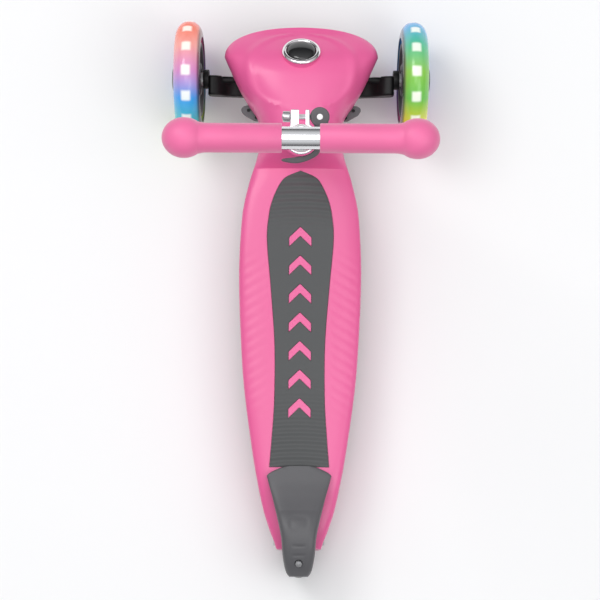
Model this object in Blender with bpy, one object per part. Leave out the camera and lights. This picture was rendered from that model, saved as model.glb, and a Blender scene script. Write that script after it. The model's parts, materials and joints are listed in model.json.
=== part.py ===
"""Three-wheel child's kick scooter, in metres: +X is the rider's right, +Y is forward, +Z is up."""

from math import cos, pi, radians, sin

import bmesh
import bpy
from mathutils import Matrix, Vector

# Driving dimensions.
FRONT_AXLE_Y = 0.2295
FRONT_RADIUS = 0.0605
FRONT_TYRE_WIDTH = 0.027
FRONT_TREAD_CURVE = 0.0150
FRONT_TYRE_BORE = 0.0440
TRACK = 0.231
CAMBER = radians(3.5)
REAR_AXLE_Y = -0.2460
REAR_RADIUS = 0.0400
REAR_TYRE_WIDTH = 0.024
REAR_TREAD_CURVE = 0.0120
REAR_TYRE_BORE = 0.0270
DECK_TOP = 0.0680
DECK_DEPTH = 0.0340
SHOULDER = 0.0110
WALL = 0.0030
TOP_WALL = 0.0050
POD_TOP = 0.1165
POD_RIM = 0.0740
POD_TIP_Y = 0.2815
POD_WIDEST_Y = 0.2488
STEER_TILT = radians(41.0)
STEER_PIVOT = Vector((0.0, 0.2240, 0.0520))
LOCK_OFFSET = 0.0140
LOCK_TRAVEL = 0.0035
STEM_LEAN = radians(9.2)
STEM_FOOT = Vector((0.0, 0.1670, 0.0700))
LOWER_TUBE_RADIUS = 0.0136
LOWER_TUBE_LENGTH = 0.5450
LOWER_TUBE_WALL = 0.0012
UPPER_TUBE_RADIUS = LOWER_TUBE_RADIUS - LOWER_TUBE_WALL - 0.0014
UPPER_TUBE_WALL = 0.0015
UPPER_TUBE_LENGTH = 0.2500
HANDLEBAR_RISE = LOWER_TUBE_LENGTH + 0.0568
HANDLEBAR_HALF = 0.1180
GRIP_START = 0.0183
GRIP_RADIUS = UPPER_TUBE_RADIUS + 0.00325
GRIP_BALL_RADIUS = 0.0196
GRIP_BALL_X = 0.1117
GRIP_END_X = 0.1332
CLAMP_RADIUS = LOWER_TUBE_RADIUS + 0.0021
CLAMP_HALF = 0.0110
SKEWER_AHEAD = CLAMP_RADIUS + 0.0049
EAR_RIGHT = 0.0084
EAR_LEFT = -0.0103
CAM_RADIUS = 0.0095
MAT_THICKNESS = 0.0025
MAT_PROUD = 0.0006
AXLE_BOLT_RADIUS = 0.0040
BRAKE_HINGE = Vector((0.0, -0.1830, 0.0600))
BRAKE_GAP = 0.0055
BRAKE_WALL = 0.0030
WEAR_PLATE = 0.0015

# Clearances: GAP between pieces that touch or seat, RUN between a pin and what turns or slides on it.
GAP = 0.0003
RUN = 0.0003
# Share of the full number of sides that round solids get here.
FINENESS = 0.6

# Half-widths of the deck along its length, from the tail to the widest place of the front pod.
DECK_SIDE = [
    (-0.2570, 0.0228), (-0.2395, 0.0296), (-0.2145, 0.0375), (-0.1520, 0.0493), (-0.0650, 0.0595),
    (0.0290, 0.0631), (0.0850, 0.0605), (0.1230, 0.0528), (0.1478, 0.0449), (0.1660, 0.0412),
    (0.1832, 0.0440), (0.2000, 0.0545), (0.2134, 0.0626), (0.2314, 0.0713), (POD_WIDEST_Y, 0.0791),
]
# Height of the deck's middle line, its widest line and its lower rim, from the tail to the tip of the pod.
DECK_CREST = [
    (-0.2570, 0.0480), (-0.2400, 0.0560), (-0.2150, 0.0610), (-0.1850, DECK_TOP), (0.1350, DECK_TOP),
    (0.1430, 0.0840), (0.1520, 0.1040), (0.1700, 0.1150), (0.2050, POD_TOP), (0.2260, 0.1155),
    (0.2400, 0.1115), (0.2510, 0.1040), (0.2620, 0.0940), (0.2740, 0.0825), (POD_TIP_Y, 0.0775),
]
DECK_EDGE = [
    (-0.2570, 0.0420), (-0.2300, 0.0470), (-0.1850, DECK_TOP - SHOULDER), (0.1230, DECK_TOP - SHOULDER),
    (0.1660, 0.0690), (0.2134, 0.0770), (POD_WIDEST_Y, 0.0800), (POD_TIP_Y, 0.0765),
]
DECK_RIM = [
    (-0.2570, 0.0320), (-0.2450, 0.0260), (-0.1700, DECK_TOP - DECK_DEPTH), (0.1500, DECK_TOP - DECK_DEPTH),
    (0.1640, 0.0420), (0.1800, POD_RIM), (POD_TIP_Y, POD_RIM - 0.0020),
]
# Outline of the grip mat, from its middle at the front round the right-hand side to its rear corner.
MAT_SIDE = [
    (0.0, 0.1332), (0.0144, 0.1270), (0.0216, 0.1186), (0.0288, 0.1020), (0.0324, 0.0853), (0.0340, 0.0600),
    (0.0298, 0.0103), (0.0257, -0.0480), (0.0257, -0.1060), (0.0283, -0.1480), (0.0305, -0.1750),
]
# Outline of the rear brake, from its middle at the front round the right-hand side to its middle at the rear.
BRAKE_SIDE = [
    (0.0, -0.1733), (0.0170, -0.1755), (0.0318, -0.1827), (0.0320, -0.1890), (0.0270, -0.2080),
    (0.0219, -0.2300), (0.0182, -0.2480), (0.0165, -0.2670), (0.0133, -0.2820), (0.0080, -0.2885), (0.0, -0.2905),
]


# Helpers: curves.

def eased(stations, at):
    """The value at a place between stations, on a smooth curve that never overshoots them."""
    if at <= stations[0][0]:
        return stations[0][1]
    for (y0, v0), (y1, v1) in zip(stations, stations[1:]):
        if at <= y1:
            break
    else:
        return stations[-1][1]
    i = stations.index((y0, v0))
    steep = (v1 - v0) / (y1 - y0)
    slopes = []
    for k in (i, i + 1):
        if k in (0, len(stations) - 1):
            slopes.append(steep)
            continue
        before = (stations[k][1] - stations[k - 1][1]) / (stations[k][0] - stations[k - 1][0])
        after = (stations[k + 1][1] - stations[k][1]) / (stations[k + 1][0] - stations[k][0])
        slopes.append(0.0 if before * after <= 0 else 2 * before * after / (before + after))
    t = (at - y0) / (y1 - y0)
    step = (y1 - y0) * t * (1 - t)
    return v0 + (v1 - v0) * t * t * (3 - 2 * t) + step * ((1 - t) * slopes[0] - t * slopes[1])


def mirrored(side):
    """A closed outline from its right-hand half, which starts and may end on the middle line."""
    left = [(-x, y) for x, y in reversed(side) if x > 1e-6]
    return list(side) + left


def smoothed(points, steps):
    """Points along a Catmull-Rom curve through the given ones, steps to each stretch."""
    ends = [points[0]] + list(points) + [points[-1]]
    found = []
    for a, b, c, d in zip(ends, ends[1:], ends[2:], ends[3:]):
        for k in range(steps):
            t = k / steps
            weights = (
                (-t + 2 * t**2 - t**3) / 2, (2 - 5 * t**2 + 3 * t**3) / 2,
                (t + 4 * t**2 - 3 * t**3) / 2, (t**3 - t**2) / 2,
            )
            found.append(tuple(sum(w * p[i] for w, p in zip(weights, (a, b, c, d))) for i in (0, 1)))
    return found + [points[-1]]


def arc(centre, radius, start, end, steps):
    """Points on an arc, with both angles in degrees."""
    angles = [radians(start + (end - start) * k / steps) for k in range(steps + 1)]
    return [(centre[0] + radius * cos(a), centre[1] + radius * sin(a)) for a in angles]


# Helpers: materials, frames and solids.

def material(name, colour, roughness, metallic=0.0, alpha=1.0):
    made = bpy.data.materials.new(name)
    made.use_nodes = True
    shader = made.node_tree.nodes["Principled BSDF"]
    shader.inputs["Base Color"].default_value = (*colour, 1.0)
    shader.inputs["Roughness"].default_value = roughness
    shader.inputs["Metallic"].default_value = metallic
    shader.inputs["Alpha"].default_value = alpha
    made.diffuse_color = (*colour, alpha)
    return made


def frame(name, place, turn=None):
    """An empty on a joint's axis or a main axis, along its own Z; its pieces are children of it."""
    empty = bpy.data.objects.new(name, None)
    empty.empty_display_size = 0.02
    empty.matrix_world = Matrix.Translation(place) @ (turn or Matrix())
    bpy.context.scene.collection.objects.link(empty)
    return empty


def add(name, bm, finish=None, parent=None, world=False):
    """An object from a bmesh. Its mesh is in its parent's frame or, with world, in the world's."""
    bmesh.ops.remove_doubles(bm, verts=bm.verts, dist=1e-6)
    bmesh.ops.recalc_face_normals(bm, faces=bm.faces)
    mesh = bpy.data.meshes.new(name)
    bm.to_mesh(mesh)
    bm.free()
    mesh.shade_smooth()
    mesh.set_sharp_from_angle(angle=radians(35))
    obj = bpy.data.objects.new(name, mesh)
    bpy.context.scene.collection.objects.link(obj)
    if finish:
        mesh.materials.append(finish)
    else:
        obj.hide_render = True
        obj.display_type = "WIRE"
    if parent:
        obj.parent = parent
        if world:
            obj.matrix_parent_inverse = parent.matrix_world.inverted()
    return obj


def lathe(name, profile, segments, **where):
    """A turned solid: the (radius, height) profile goes round the frame's Z."""
    bm = bmesh.new()
    verts = [bm.verts.new((r, 0.0, h)) for r, h in profile]
    edges = [bm.edges.new(pair) for pair in zip(verts, verts[1:])]
    if profile[0][0] > 0 or profile[-1][0] > 0:
        edges.append(bm.edges.new((verts[-1], verts[0])))
    sides = max(8, round(segments * FINENESS))
    bmesh.ops.spin(
        bm, geom=verts + edges, cent=(0, 0, 0), axis=(0, 0, 1), angle=2 * pi, steps=sides,
        use_merge=True, use_duplicate=False,
    )
    return add(name, bm, **where)


def tube(name, inner, outer, low, high, segments, edge=0.0, **where):
    """A ring or a sleeve; with no inner radius, a rod. Its outer edges may have a small chamfer."""
    outline = [(outer - edge, low), (outer, low + edge), (outer, high - edge), (outer - edge, high)]
    if not edge:
        outline = [(outer, low), (outer, high)]
    profile = [(inner, low)] + outline + [(inner, high)]
    return lathe(name, profile, segments, **where)


def prism(name, outline, low, high, turn=None, **where):
    """An outline drawn in X and Y, extruded along Z from low to high, then turned."""
    bm = bmesh.new()
    face = bm.faces.new([bm.verts.new((x, y, low)) for x, y in outline])
    grown = bmesh.ops.extrude_face_region(bm, geom=[face])
    moved = [v for v in grown["geom"] if isinstance(v, bmesh.types.BMVert)]
    bmesh.ops.translate(bm, vec=(0, 0, high - low), verts=moved)
    if turn:
        bm.transform(turn)
    return add(name, bm, **where)


def hex_nut(name, bore, corner, low, high, **where):
    """A six-sided nut on the frame's Z, with a round hole."""
    outline = arc((0.0, 0.0), corner, 0, 300, 5)
    hole = tube(name + "_hole", 0.0, bore, low - 0.01, high + 0.01, 20, parent=where["parent"])
    return cut(prism(name, outline, low, high, **where), hole)


def boxes(name, corners, **where):
    """One helper or piece made of one box for each pair of corners."""
    bm = bmesh.new()
    for low, high in corners:
        low, high = Vector(low), Vector(high)
        scale = Matrix.Diagonal((*(high - low), 1.0))
        bmesh.ops.create_cube(bm, size=1.0, matrix=Matrix.Translation((low + high) / 2) @ scale)
    return add(name, bm, **where)


def coil(name, radius, wire, turns, low, high, finish, parent, offset=(0.0, 0.0), legs=()):
    """A coil spring round the frame's Z, with any straight legs at its ends given as points."""
    steps = 8 * turns
    path = list(legs[:1])
    for k in range(steps + 1):
        turn = 2 * pi * turns * k / steps
        height = low + (high - low) * k / steps
        path.append((offset[0] + radius * cos(turn), offset[1] + radius * sin(turn), height))
    path += list(legs[1:])
    curve = bpy.data.curves.new(name, "CURVE")
    curve.dimensions = "3D"
    curve.bevel_depth = wire
    curve.bevel_resolution = 1
    curve.use_fill_caps = True
    spline = curve.splines.new("POLY")
    spline.points.add(len(path) - 1)
    for point, place in zip(spline.points, path):
        point.co = (*place, 1.0)
    curve.materials.append(finish)
    obj = bpy.data.objects.new(name, curve)
    bpy.context.scene.collection.objects.link(obj)
    obj.parent = parent
    return obj


def combine(obj, operation, *others):
    """Cuts each other solid from the object, joins it on, or keeps what they share."""
    for other in others:
        boolean = obj.modifiers.new(other.name, "BOOLEAN")
        boolean.operation = operation
        boolean.object = other
    return obj


def cut(obj, *cutters):
    return combine(obj, "DIFFERENCE", *cutters)


def join(obj, *pieces):
    return combine(obj, "UNION", *pieces)


# Deck, mat and front pod.

def deck_section(y, inset, drop):
    """The deck's closed cross-section at y, drawn in X and Z, made smaller by a wall for its cavity."""
    ahead = y + 1.2 * inset
    half = min(deck_half(y), deck_half(ahead)) - inset
    crest = min(eased(DECK_CREST, y), eased(DECK_CREST, ahead)) - drop
    if inset and y < MAT_SIDE[0][1] + 0.008:
        crest = min(crest, DECK_TOP - drop)
    edge = min(eased(DECK_EDGE, y), crest)
    rim = eased(DECK_RIM, y) - (0.02 if inset else 0.0)
    power = 2 / (4.0 if y < 0.12 else 2.5)
    points = []
    for k in range(13):
        turn = radians(180 * k / 12)
        across = half * abs(cos(turn)) ** power * (1 if k < 6 else -1)
        points.append((across if k != 6 else 0.0, edge + (crest - edge) * sin(turn) ** power))
    lower = half - (0.0 if inset else 0.002)
    return points + [(-lower, rim), (lower, rim)]


def deck_half(y):
    """Half-width of the deck at y: eased between its stations, and a rounded nose ahead of the pod's widest line."""
    if y <= POD_WIDEST_Y:
        return eased(DECK_SIDE, y)
    ahead = min((y - POD_WIDEST_Y) / (POD_TIP_Y - POD_WIDEST_Y), 1.0)
    return max(DECK_SIDE[-1][1] * (1 - ahead**2.25) ** (1 / 2.25), 0.004)


def deck_loft(name, places, inset=0.0, drop=0.0, **where):
    """A closed body through the deck's cross-sections at the places given."""
    bm = bmesh.new()
    rings = []
    for y in places:
        rings.append([bm.verts.new((x, y, z)) for x, z in deck_section(y, inset, drop)])
    for near, far in zip(rings, rings[1:]):
        for i in range(len(near)):
            j = (i + 1) % len(near)
            bm.faces.new((near[i], near[j], far[j], far[i]))
    bm.faces.new(reversed(rings[0]))
    bm.faces.new(rings[-1])
    return add(name, bm, **where)


def chevrons(name, low, high, grow):
    """Seven V marks along the middle of the deck, as helper solids."""
    bm = bmesh.new()
    arm = 0.0090 + 2 * grow
    for k in range(7):
        tip = 0.0745 - 0.0297 * k + grow
        side = tip - 0.0110 - grow
        wide = 0.0113 + grow
        outline = [
            (0.0, tip), (wide, side), (wide, side - arm), (0.0, tip - arm), (-wide, side - arm), (-wide, side),
        ]
        face = bm.faces.new([bm.verts.new((x, y, low)) for x, y in outline])
        grown = bmesh.ops.extrude_face_region(bm, geom=[face])
        moved = [v for v in grown["geom"] if isinstance(v, bmesh.types.BMVert)]
        bmesh.ops.translate(bm, vec=(0, 0, high - low), verts=moved)
    return add(name, bm)


def mat_outline(grow):
    """The mat's outline, grown by a clearance on every side."""
    side = smoothed(MAT_SIDE, 2)
    grown = [(x * (1 + grow / 0.03), y + (grow if k == 0 else 0.0)) for k, (x, y) in enumerate(side)]
    grown[-1] = (grown[-1][0], grown[-1][1] - grow)
    return mirrored(grown)


def make_deck(finish, steer, stem, rear_axle, brake_hinge):
    """The one-piece deck: rib-stiffened tray, tail fork, stem socket and front pod, open underneath."""
    nose = [POD_WIDEST_Y + (POD_TIP_Y - POD_WIDEST_Y) * sin(radians(90 * k / 7)) for k in range(1, 8)]
    body = [-0.2570, -0.2480, -0.2395, -0.2270, -0.2145, -0.2000, -0.1850, -0.1520, -0.1080, -0.0650, -0.0180,
            0.0290, 0.0600, 0.0850, 0.1060, 0.1230, 0.1330, 0.1420, 0.1500, 0.1590, 0.1680, 0.1780, 0.1890,
            0.2010, 0.2134, 0.2260, 0.2380]
    deck = deck_loft("deck_shell", body + [POD_WIDEST_Y] + nose, finish=finish)
    cavity = deck_loft(
        "deck_cavity",
        [-0.1600] + [y for y in body if -0.16 < y] + [POD_WIDEST_Y] + nose[:-3] + [POD_TIP_Y - 2 * WALL],
        inset=WALL, drop=TOP_WALL,
    )
    ribs = [((-0.08, y - WALL / 2, 0.0), (0.08, y + WALL / 2, DECK_TOP)) for y in (-0.11, -0.05, 0.01, 0.07, 0.13)]
    keels = [((x - WALL / 2, -0.17, 0.0), (x + WALL / 2, 0.131, DECK_TOP)) for x in (-0.022, 0.022)]
    cut(cavity, boxes("cross_ribs", ribs), boxes("long_ribs", keels))
    recess = prism("mat_recess", mat_outline(0.0005), mat_floor() - GAP, 0.09)
    cut(recess, chevrons("chevron_bosses", 0.0, mat_floor() + MAT_THICKNESS - 0.0004, 0.0))
    slot_half = REAR_TYRE_WIDTH / 2 + 0.0025
    slot = boxes("wheel_slot", [((-slot_half, -0.30, 0.0), (slot_half, -0.1765, 0.12))])
    cut(deck, cavity, recess, slot)
    # Stem socket with a blind bore for the lower tube, and its cross bolt.
    socket = tube("socket_boss", 0.0, 0.0190, -0.0290, 0.0520, 33, parent=stem)
    bore = tube("socket_bore", 0.0, LOWER_TUBE_RADIUS + GAP, -0.0240, 0.08, 28, parent=stem)
    bolt_way = tube("stem_bolt_way", 0.0, 0.0028, -0.0262, 0.0262, 15, parent=frame_x("stem_bolt_axis", stem, 0.0150))
    join(deck, cut(socket, bolt_way))
    cut(deck, bore)
    # Kingpin boss, lock guide, button barrel and spring seats inside the pod.
    face = button_face()
    boss = tube("kingpin_boss", 0.0, 0.0095, hub_half() + 0.0006, face - 0.0015, 20, parent=steer)
    guide = tube("lock_guide", 0.0, 0.0056, 0.0170, 0.0400, 16, parent=lock_frame(steer))
    barrel = tube("button_barrel", 0.0153, 0.0205, face - 0.0070, face - 0.0001, 28, parent=lock_frame(steer))
    seats = [tube("spring_seat_" + side, 0.0, 0.0080, POD_RIM + 0.004, POD_TOP - 0.0060, 16, parent=spring_frame(side))
             for side in ("left", "right")]
    join(deck, boss, guide, *seats)
    kingpin_way = tube("kingpin_way", 0.0, AXLE_BOLT_RADIUS + GAP, -0.02, face - 0.0110, 16, parent=steer)
    pin_way = tube("lock_pin_way", 0.0, 0.0029, 0.0, face - 0.0020, 14, parent=lock_frame(steer))
    seat = [(0.0, 0.0430), (0.0180, 0.0430), (0.0180, face), (0.0212, face), (0.0212, 0.0800), (0.0, 0.0800)]
    cut(deck, kingpin_way, pin_way, lathe("button_way", seat, 30, parent=lock_frame(steer)))
    join(deck, barrel)
    # Rear axle bores with counterbores, and the blind bore for the brake's hinge pin.
    axle_way = tube("rear_axle_way", 0.0, AXLE_BOLT_RADIUS + GAP, -0.04, 0.04, 16, parent=rear_axle)
    sinks = [tube("axle_sink_" + str(k), 0.0, 0.0082, min(a, b), max(a, b), 18, parent=rear_axle)
             for k, (a, b) in enumerate(((0.0220, 0.04), (-0.0220, -0.04)))]
    pin = tube("hinge_pin_way", 0.0, 0.0028, -0.0223, 0.0223, 14, parent=brake_hinge)
    cut(deck, axle_way, *sinks, pin)
    return deck


def mat_floor():
    """Height of the underside of the mat."""
    return DECK_TOP + MAT_PROUD - MAT_THICKNESS


def make_mat(finish):
    mat = prism("grip_mat", mat_outline(0.0), mat_floor(), mat_floor() + MAT_THICKNESS, finish=finish)
    return cut(mat, chevrons("mat_openings", 0.0, 0.09, 0.0004))


# Frames that hang on the steering and stem axes.

def hub_half():
    """Half-length of the beam's pivot hub along the steering axis."""
    return 0.0090


def button_face():
    """How far the pod's flat for the button lies along the steering axis."""
    return 0.0573


def child_frame(name, parent, place, turn=None):
    found = bpy.data.objects.get(name)
    if found:
        return found
    empty = frame(name, (0, 0, 0))
    empty.parent = parent
    empty.matrix_local = Matrix.Translation(place) @ (turn or Matrix())
    bpy.context.view_layer.update()
    return empty


def frame_x(name, parent, height):
    """A frame whose Z runs across the scooter, at a height on its parent's axis."""
    return child_frame(name, parent, (0, 0, height), Matrix.Rotation(pi / 2, 4, "Y"))


def lock_frame(steer):
    """The lock button's and lock pin's axis, parallel to the steering axis and behind it."""
    return child_frame("lock_axis", steer, (0, -LOCK_OFFSET, 0))


def spring_frame(side):
    """Upright axis of a steering spring."""
    x = 0.030 if side == "right" else -0.030
    return bpy.data.objects.get("spring_axis_" + side) or frame("spring_axis_" + side, (x, 0.2225, 0.0))


# Front truck: the beam that leans and steers, its pivot, springs and cover.

def beam_top():
    return STEER_PIVOT.z + 0.0085


def make_beam(finish, steer, wheels):
    """Black beam with its pivot hub and an end lug for each wheel bolt."""
    end = TRACK / 2 - 0.0195
    right = [(0.0, -0.0090), (0.0450, -0.0085), (end, 0.0020), (end, 0.0190), (end - 0.0100, 0.0175),
             (end - 0.0220, 0.0085)]
    outline = mirrored([(0.0, -0.0085)] + right[1:])
    middle = STEER_PIVOT.y - 0.0015
    upright = Matrix.Translation((0, 0, STEER_PIVOT.z)) @ Matrix.Rotation(pi / 2, 4, "X")
    beam = prism(
        "axle_beam", outline, -middle - 0.0103, -middle + 0.0103, turn=upright, finish=finish,
        parent=steer, world=True,
    )
    hub = tube("beam_hub", 0.0, 0.0185, -hub_half(), hub_half(), 28, parent=steer)
    lugs = [tube("beam_lug_" + str(k), 0.0, 0.0100, -0.0205, -0.0145, 20, parent=w) for k, w in enumerate(wheels)]
    join(beam, hub, *lugs)
    bore = tube("beam_bore", 0.0, 0.0070, -0.03, 0.03, 20, parent=steer)
    lock = tube("beam_lock_hole", 0.0, 0.0032, 0.0, 0.03, 14, parent=lock_frame(steer))
    ways = [tube("beam_bolt_way_" + str(k), 0.0, AXLE_BOLT_RADIUS + GAP, -0.06, 0.0, 16, parent=w)
            for k, w in enumerate(wheels)]
    faces = [tube("beam_spotface_" + str(k), 0.0, r, min(a, b), max(a, b), 28, parent=steer)
             for k, (r, a, b) in enumerate(((0.0137, -hub_half() - 0.0002, -0.04), (0.0200, hub_half() + 0.0002, 0.04)))]
    return cut(beam, bore, lock, *ways, *faces)


def make_pivot(steel, plastic, steer):
    """Kingpin bolt with its washer, and the two bushes pressed in the beam's hub."""
    half = hub_half()
    head = [(0.0, -half - 0.0080), (0.0070, -half - 0.0080), (0.0070, -half - 0.0023),
            (AXLE_BOLT_RADIUS, -half - 0.0023), (AXLE_BOLT_RADIUS, button_face() - 0.0140),
            (0.0, button_face() - 0.0140)]
    lathe("kingpin_bolt", head, 16, finish=steel, parent=steer)
    tube("kingpin_washer", AXLE_BOLT_RADIUS + GAP, 0.0120, -half - 0.0020, -half - 0.0005, 20, finish=steel,
         parent=steer)
    for name, low, high in (("lower", -half + 0.0002, -0.0005), ("upper", 0.0005, half - 0.0002)):
        tube("kingpin_bush_" + name, AXLE_BOLT_RADIUS + RUN, 0.0070 - GAP, low, high, 20, finish=plastic,
             parent=steer)


def make_housing(finish, steel):
    """Cover plate under the pod behind the beam, with its four screws."""
    side = [(0.0210, 0.1905), (0.0210, 0.1845), (0.0480, 0.1845), (0.0590, 0.1910), (0.0618, 0.1950),
            (0.0616, 0.1975), (0.0590, 0.2000), (0.0300, 0.2045), (0.0240, 0.2040), (0.0220, 0.2010)]
    high = POD_RIM - 0.0021 - GAP
    plate = prism("truck_housing", side + [(-x, y) for x, y in reversed(side)], high - 0.0040, high, finish=finish)
    join(plate, boxes("housing_wall", [((-0.0380, 0.1910, 0.0480), (0.0380, 0.1970, high - 0.0010))]))
    for k, (x, y) in enumerate(((-0.0540, 0.1955), (0.0540, 0.1955), (-0.0460, 0.1880), (0.0460, 0.1880))):
        way = frame("housing_screw_axis_" + str(k + 1), (x, y, high - 0.0040))
        cut(plate, tube("housing_way_" + str(k), 0.0, 0.0019, -0.01, 0.01, 12, parent=way))
        screw = [(0.0, -0.0020), (0.0030, -0.0020), (0.0030, -GAP), (0.0016, -GAP), (0.0016, 0.0039), (0.0, 0.0039)]
        lathe("housing_screw_" + str(k + 1), screw, 12, finish=steel, parent=way)


def make_lock(chrome, black, steel, steer):
    """The pod's steering-lock button with its trim ring, return spring and pin."""
    face = button_face()
    axis = lock_frame(steer)
    ring = [(0.0151, face + GAP), (0.0200, face + GAP), (0.0200, face + 0.0015), (0.0188, face + 0.0030),
            (0.0163, face + 0.0032), (0.0151, face + 0.0022)]
    lathe("lock_button_ring", ring, 28, finish=chrome, parent=axis)
    low = face - 0.0060
    dome = [(0.0, low), (0.0147, low), (0.0147, face + 0.0020)]
    dome += [(0.0147 * cos(radians(a)), face + 0.0020 + 0.0045 * sin(radians(a))) for a in (20, 40, 60, 78)]
    lathe("lock_button", dome + [(0.0, face + 0.0065)], 28, finish=black, parent=axis)
    tube("lock_pin", 0.0, 0.0025, hub_half() + 0.0010 + LOCK_TRAVEL, low - GAP, 14, finish=steel, parent=axis)
    coil("lock_spring", 0.0036, 0.0004, 4, 0.0408, low - 0.0010, steel, axis)


def make_steering_springs(steel):
    for side in ("left", "right"):
        coil("steering_spring_" + side, 0.0055, 0.0009, 4, beam_top() + 0.0012, POD_RIM + 0.0028, steel,
             spring_frame(side))


# Wheels.

def tread(radius, width, curve, bore, steps):
    """Profile of a solid tyre with a rounded tread."""
    reach = (width / 2) / curve
    sides = [radians(-90 + 180 * k / steps) for k in range(steps + 1)]
    crown = [(radius - curve + curve * cos(a), width / 2 * sin(a) * min(1.0, 1 / reach)) for a in sides]
    low, high = crown[0], crown[-1]
    return [(bore, low[1])] + crown + [(bore, high[1])]


def make_front_wheel(side, axle, finishes):
    """Tyre, light ring, hub, two bearings, cap, bolt and spacer on one wheel's axis, which points outward."""
    half = FRONT_TYRE_WIDTH / 2
    rim = FRONT_TYRE_BORE - GAP
    name = "front_wheel_" + side + "_"
    lathe(name + "tyre", tread(FRONT_RADIUS, FRONT_TYRE_WIDTH, FRONT_TREAD_CURVE, FRONT_TYRE_BORE, 6), 44,
          finish=finishes["tyre"], parent=axle)
    tube(name + "light_ring", rim - 0.0050, rim, -half + 0.0040, half - 0.0040, 44, finish=finishes["light"],
         parent=axle)
    hub_rim = rim - 0.0050 - GAP
    bore = 0.0110 + GAP
    hub = [(bore, -half + 0.0010), (0.0160, -half + 0.0010), (0.0180, -half + 0.0050), (0.0330, -half + 0.0040),
           (0.0345, -half + 0.0010), (hub_rim, -half + 0.0010), (hub_rim, half - 0.0010), (0.0345, half - 0.0010),
           (0.0330, half - 0.0040), (0.0180, half - 0.0050), (0.0160, half - 0.0010), (bore, half - 0.0010)]
    lathe(name + "hub", hub, 44, finish=finishes["hub"], parent=axle)
    for place, low in (("inner", -half + 0.0020), ("outer", half - 0.0125)):
        tube(name + "bearing_" + place, AXLE_BOLT_RADIUS + RUN, 0.0110, low, low + 0.0070, 20,
             finish=finishes["steel"], parent=axle)
    cap = [(0.0, half + 0.0026), (0.0, half + 0.0042), (0.0100, half + 0.0038), (0.0150, half + 0.0022),
           (0.0158, half - 0.0007), (0.0100, half - 0.0007), (0.0098, half + 0.0026)]
    lathe(name + "cap", list(reversed(cap)), 28, finish=finishes["hub"], parent=axle)
    bolt = [(0.0, -half - 0.0170), (AXLE_BOLT_RADIUS, -half - 0.0170), (AXLE_BOLT_RADIUS, half - 0.0050),
            (0.0070, half - 0.0050), (0.0070, half + 0.0005), (0.0, half + 0.0005)]
    lathe(name + "bolt", bolt, 16, finish=finishes["steel"], parent=axle)
    tube(name + "spacer", AXLE_BOLT_RADIUS + GAP, 0.0070, -half - 0.0007, -half + 0.0016, 16,
         finish=finishes["steel"], parent=axle)


def make_rear_wheel(axle, finishes):
    half = REAR_TYRE_WIDTH / 2
    rim = REAR_TYRE_BORE - GAP
    lathe("rear_tyre", tread(REAR_RADIUS, REAR_TYRE_WIDTH, REAR_TREAD_CURVE, REAR_TYRE_BORE, 6), 40,
          finish=finishes["rear_tyre"], parent=axle)
    bore = 0.0110 + GAP
    hub = [(bore, -half + 0.0005), (0.0150, -half + 0.0005), (0.0170, -half + 0.0040), (0.0230, -half + 0.0040),
           (0.0240, -half + 0.0020), (rim, -half + 0.0020), (rim, half - 0.0020), (0.0240, half - 0.0020),
           (0.0230, half - 0.0040), (0.0170, half - 0.0040), (0.0150, half - 0.0005), (bore, half - 0.0005)]
    lathe("rear_hub", hub, 40, finish=finishes["hub"], parent=axle)
    for side, low in (("left", -half + 0.0005), ("right", half - 0.0075)):
        tube("rear_bearing_" + side, AXLE_BOLT_RADIUS + RUN, 0.0110, low, low + 0.0070, 20,
             finish=finishes["steel"], parent=axle)
    tube("rear_spacer", AXLE_BOLT_RADIUS + GAP, 0.0062, -half + 0.0080, half - 0.0080, 16,
         finish=finishes["steel"], parent=axle)
    bolt = [(0.0, -0.0262), (0.0072, -0.0262), (0.0072, -0.0223), (AXLE_BOLT_RADIUS, -0.0223),
            (AXLE_BOLT_RADIUS, 0.0262), (0.0, 0.0262)]
    lathe("rear_axle_bolt", bolt, 16, finish=finishes["steel"], parent=axle)
    hex_nut("rear_axle_nut", AXLE_BOLT_RADIUS + GAP, 0.0072, 0.0223, 0.0262, finish=finishes["steel"], parent=axle)


# Rear brake.

def brake_line(drop):
    """Side view of the brake from its front edge back over the wheel, lowered by a thickness."""
    outer = REAR_RADIUS + BRAKE_GAP + WEAR_PLATE + 0.0005 + BRAKE_WALL
    front = [(-0.1725, 0.0740), (-0.1900, 0.0752), (-0.2050, 0.0785)]
    over = arc((REAR_AXLE_Y, REAR_RADIUS), outer - drop, 62, 148, 10)
    return [(y, z - drop) for y, z in front] + over


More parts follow.
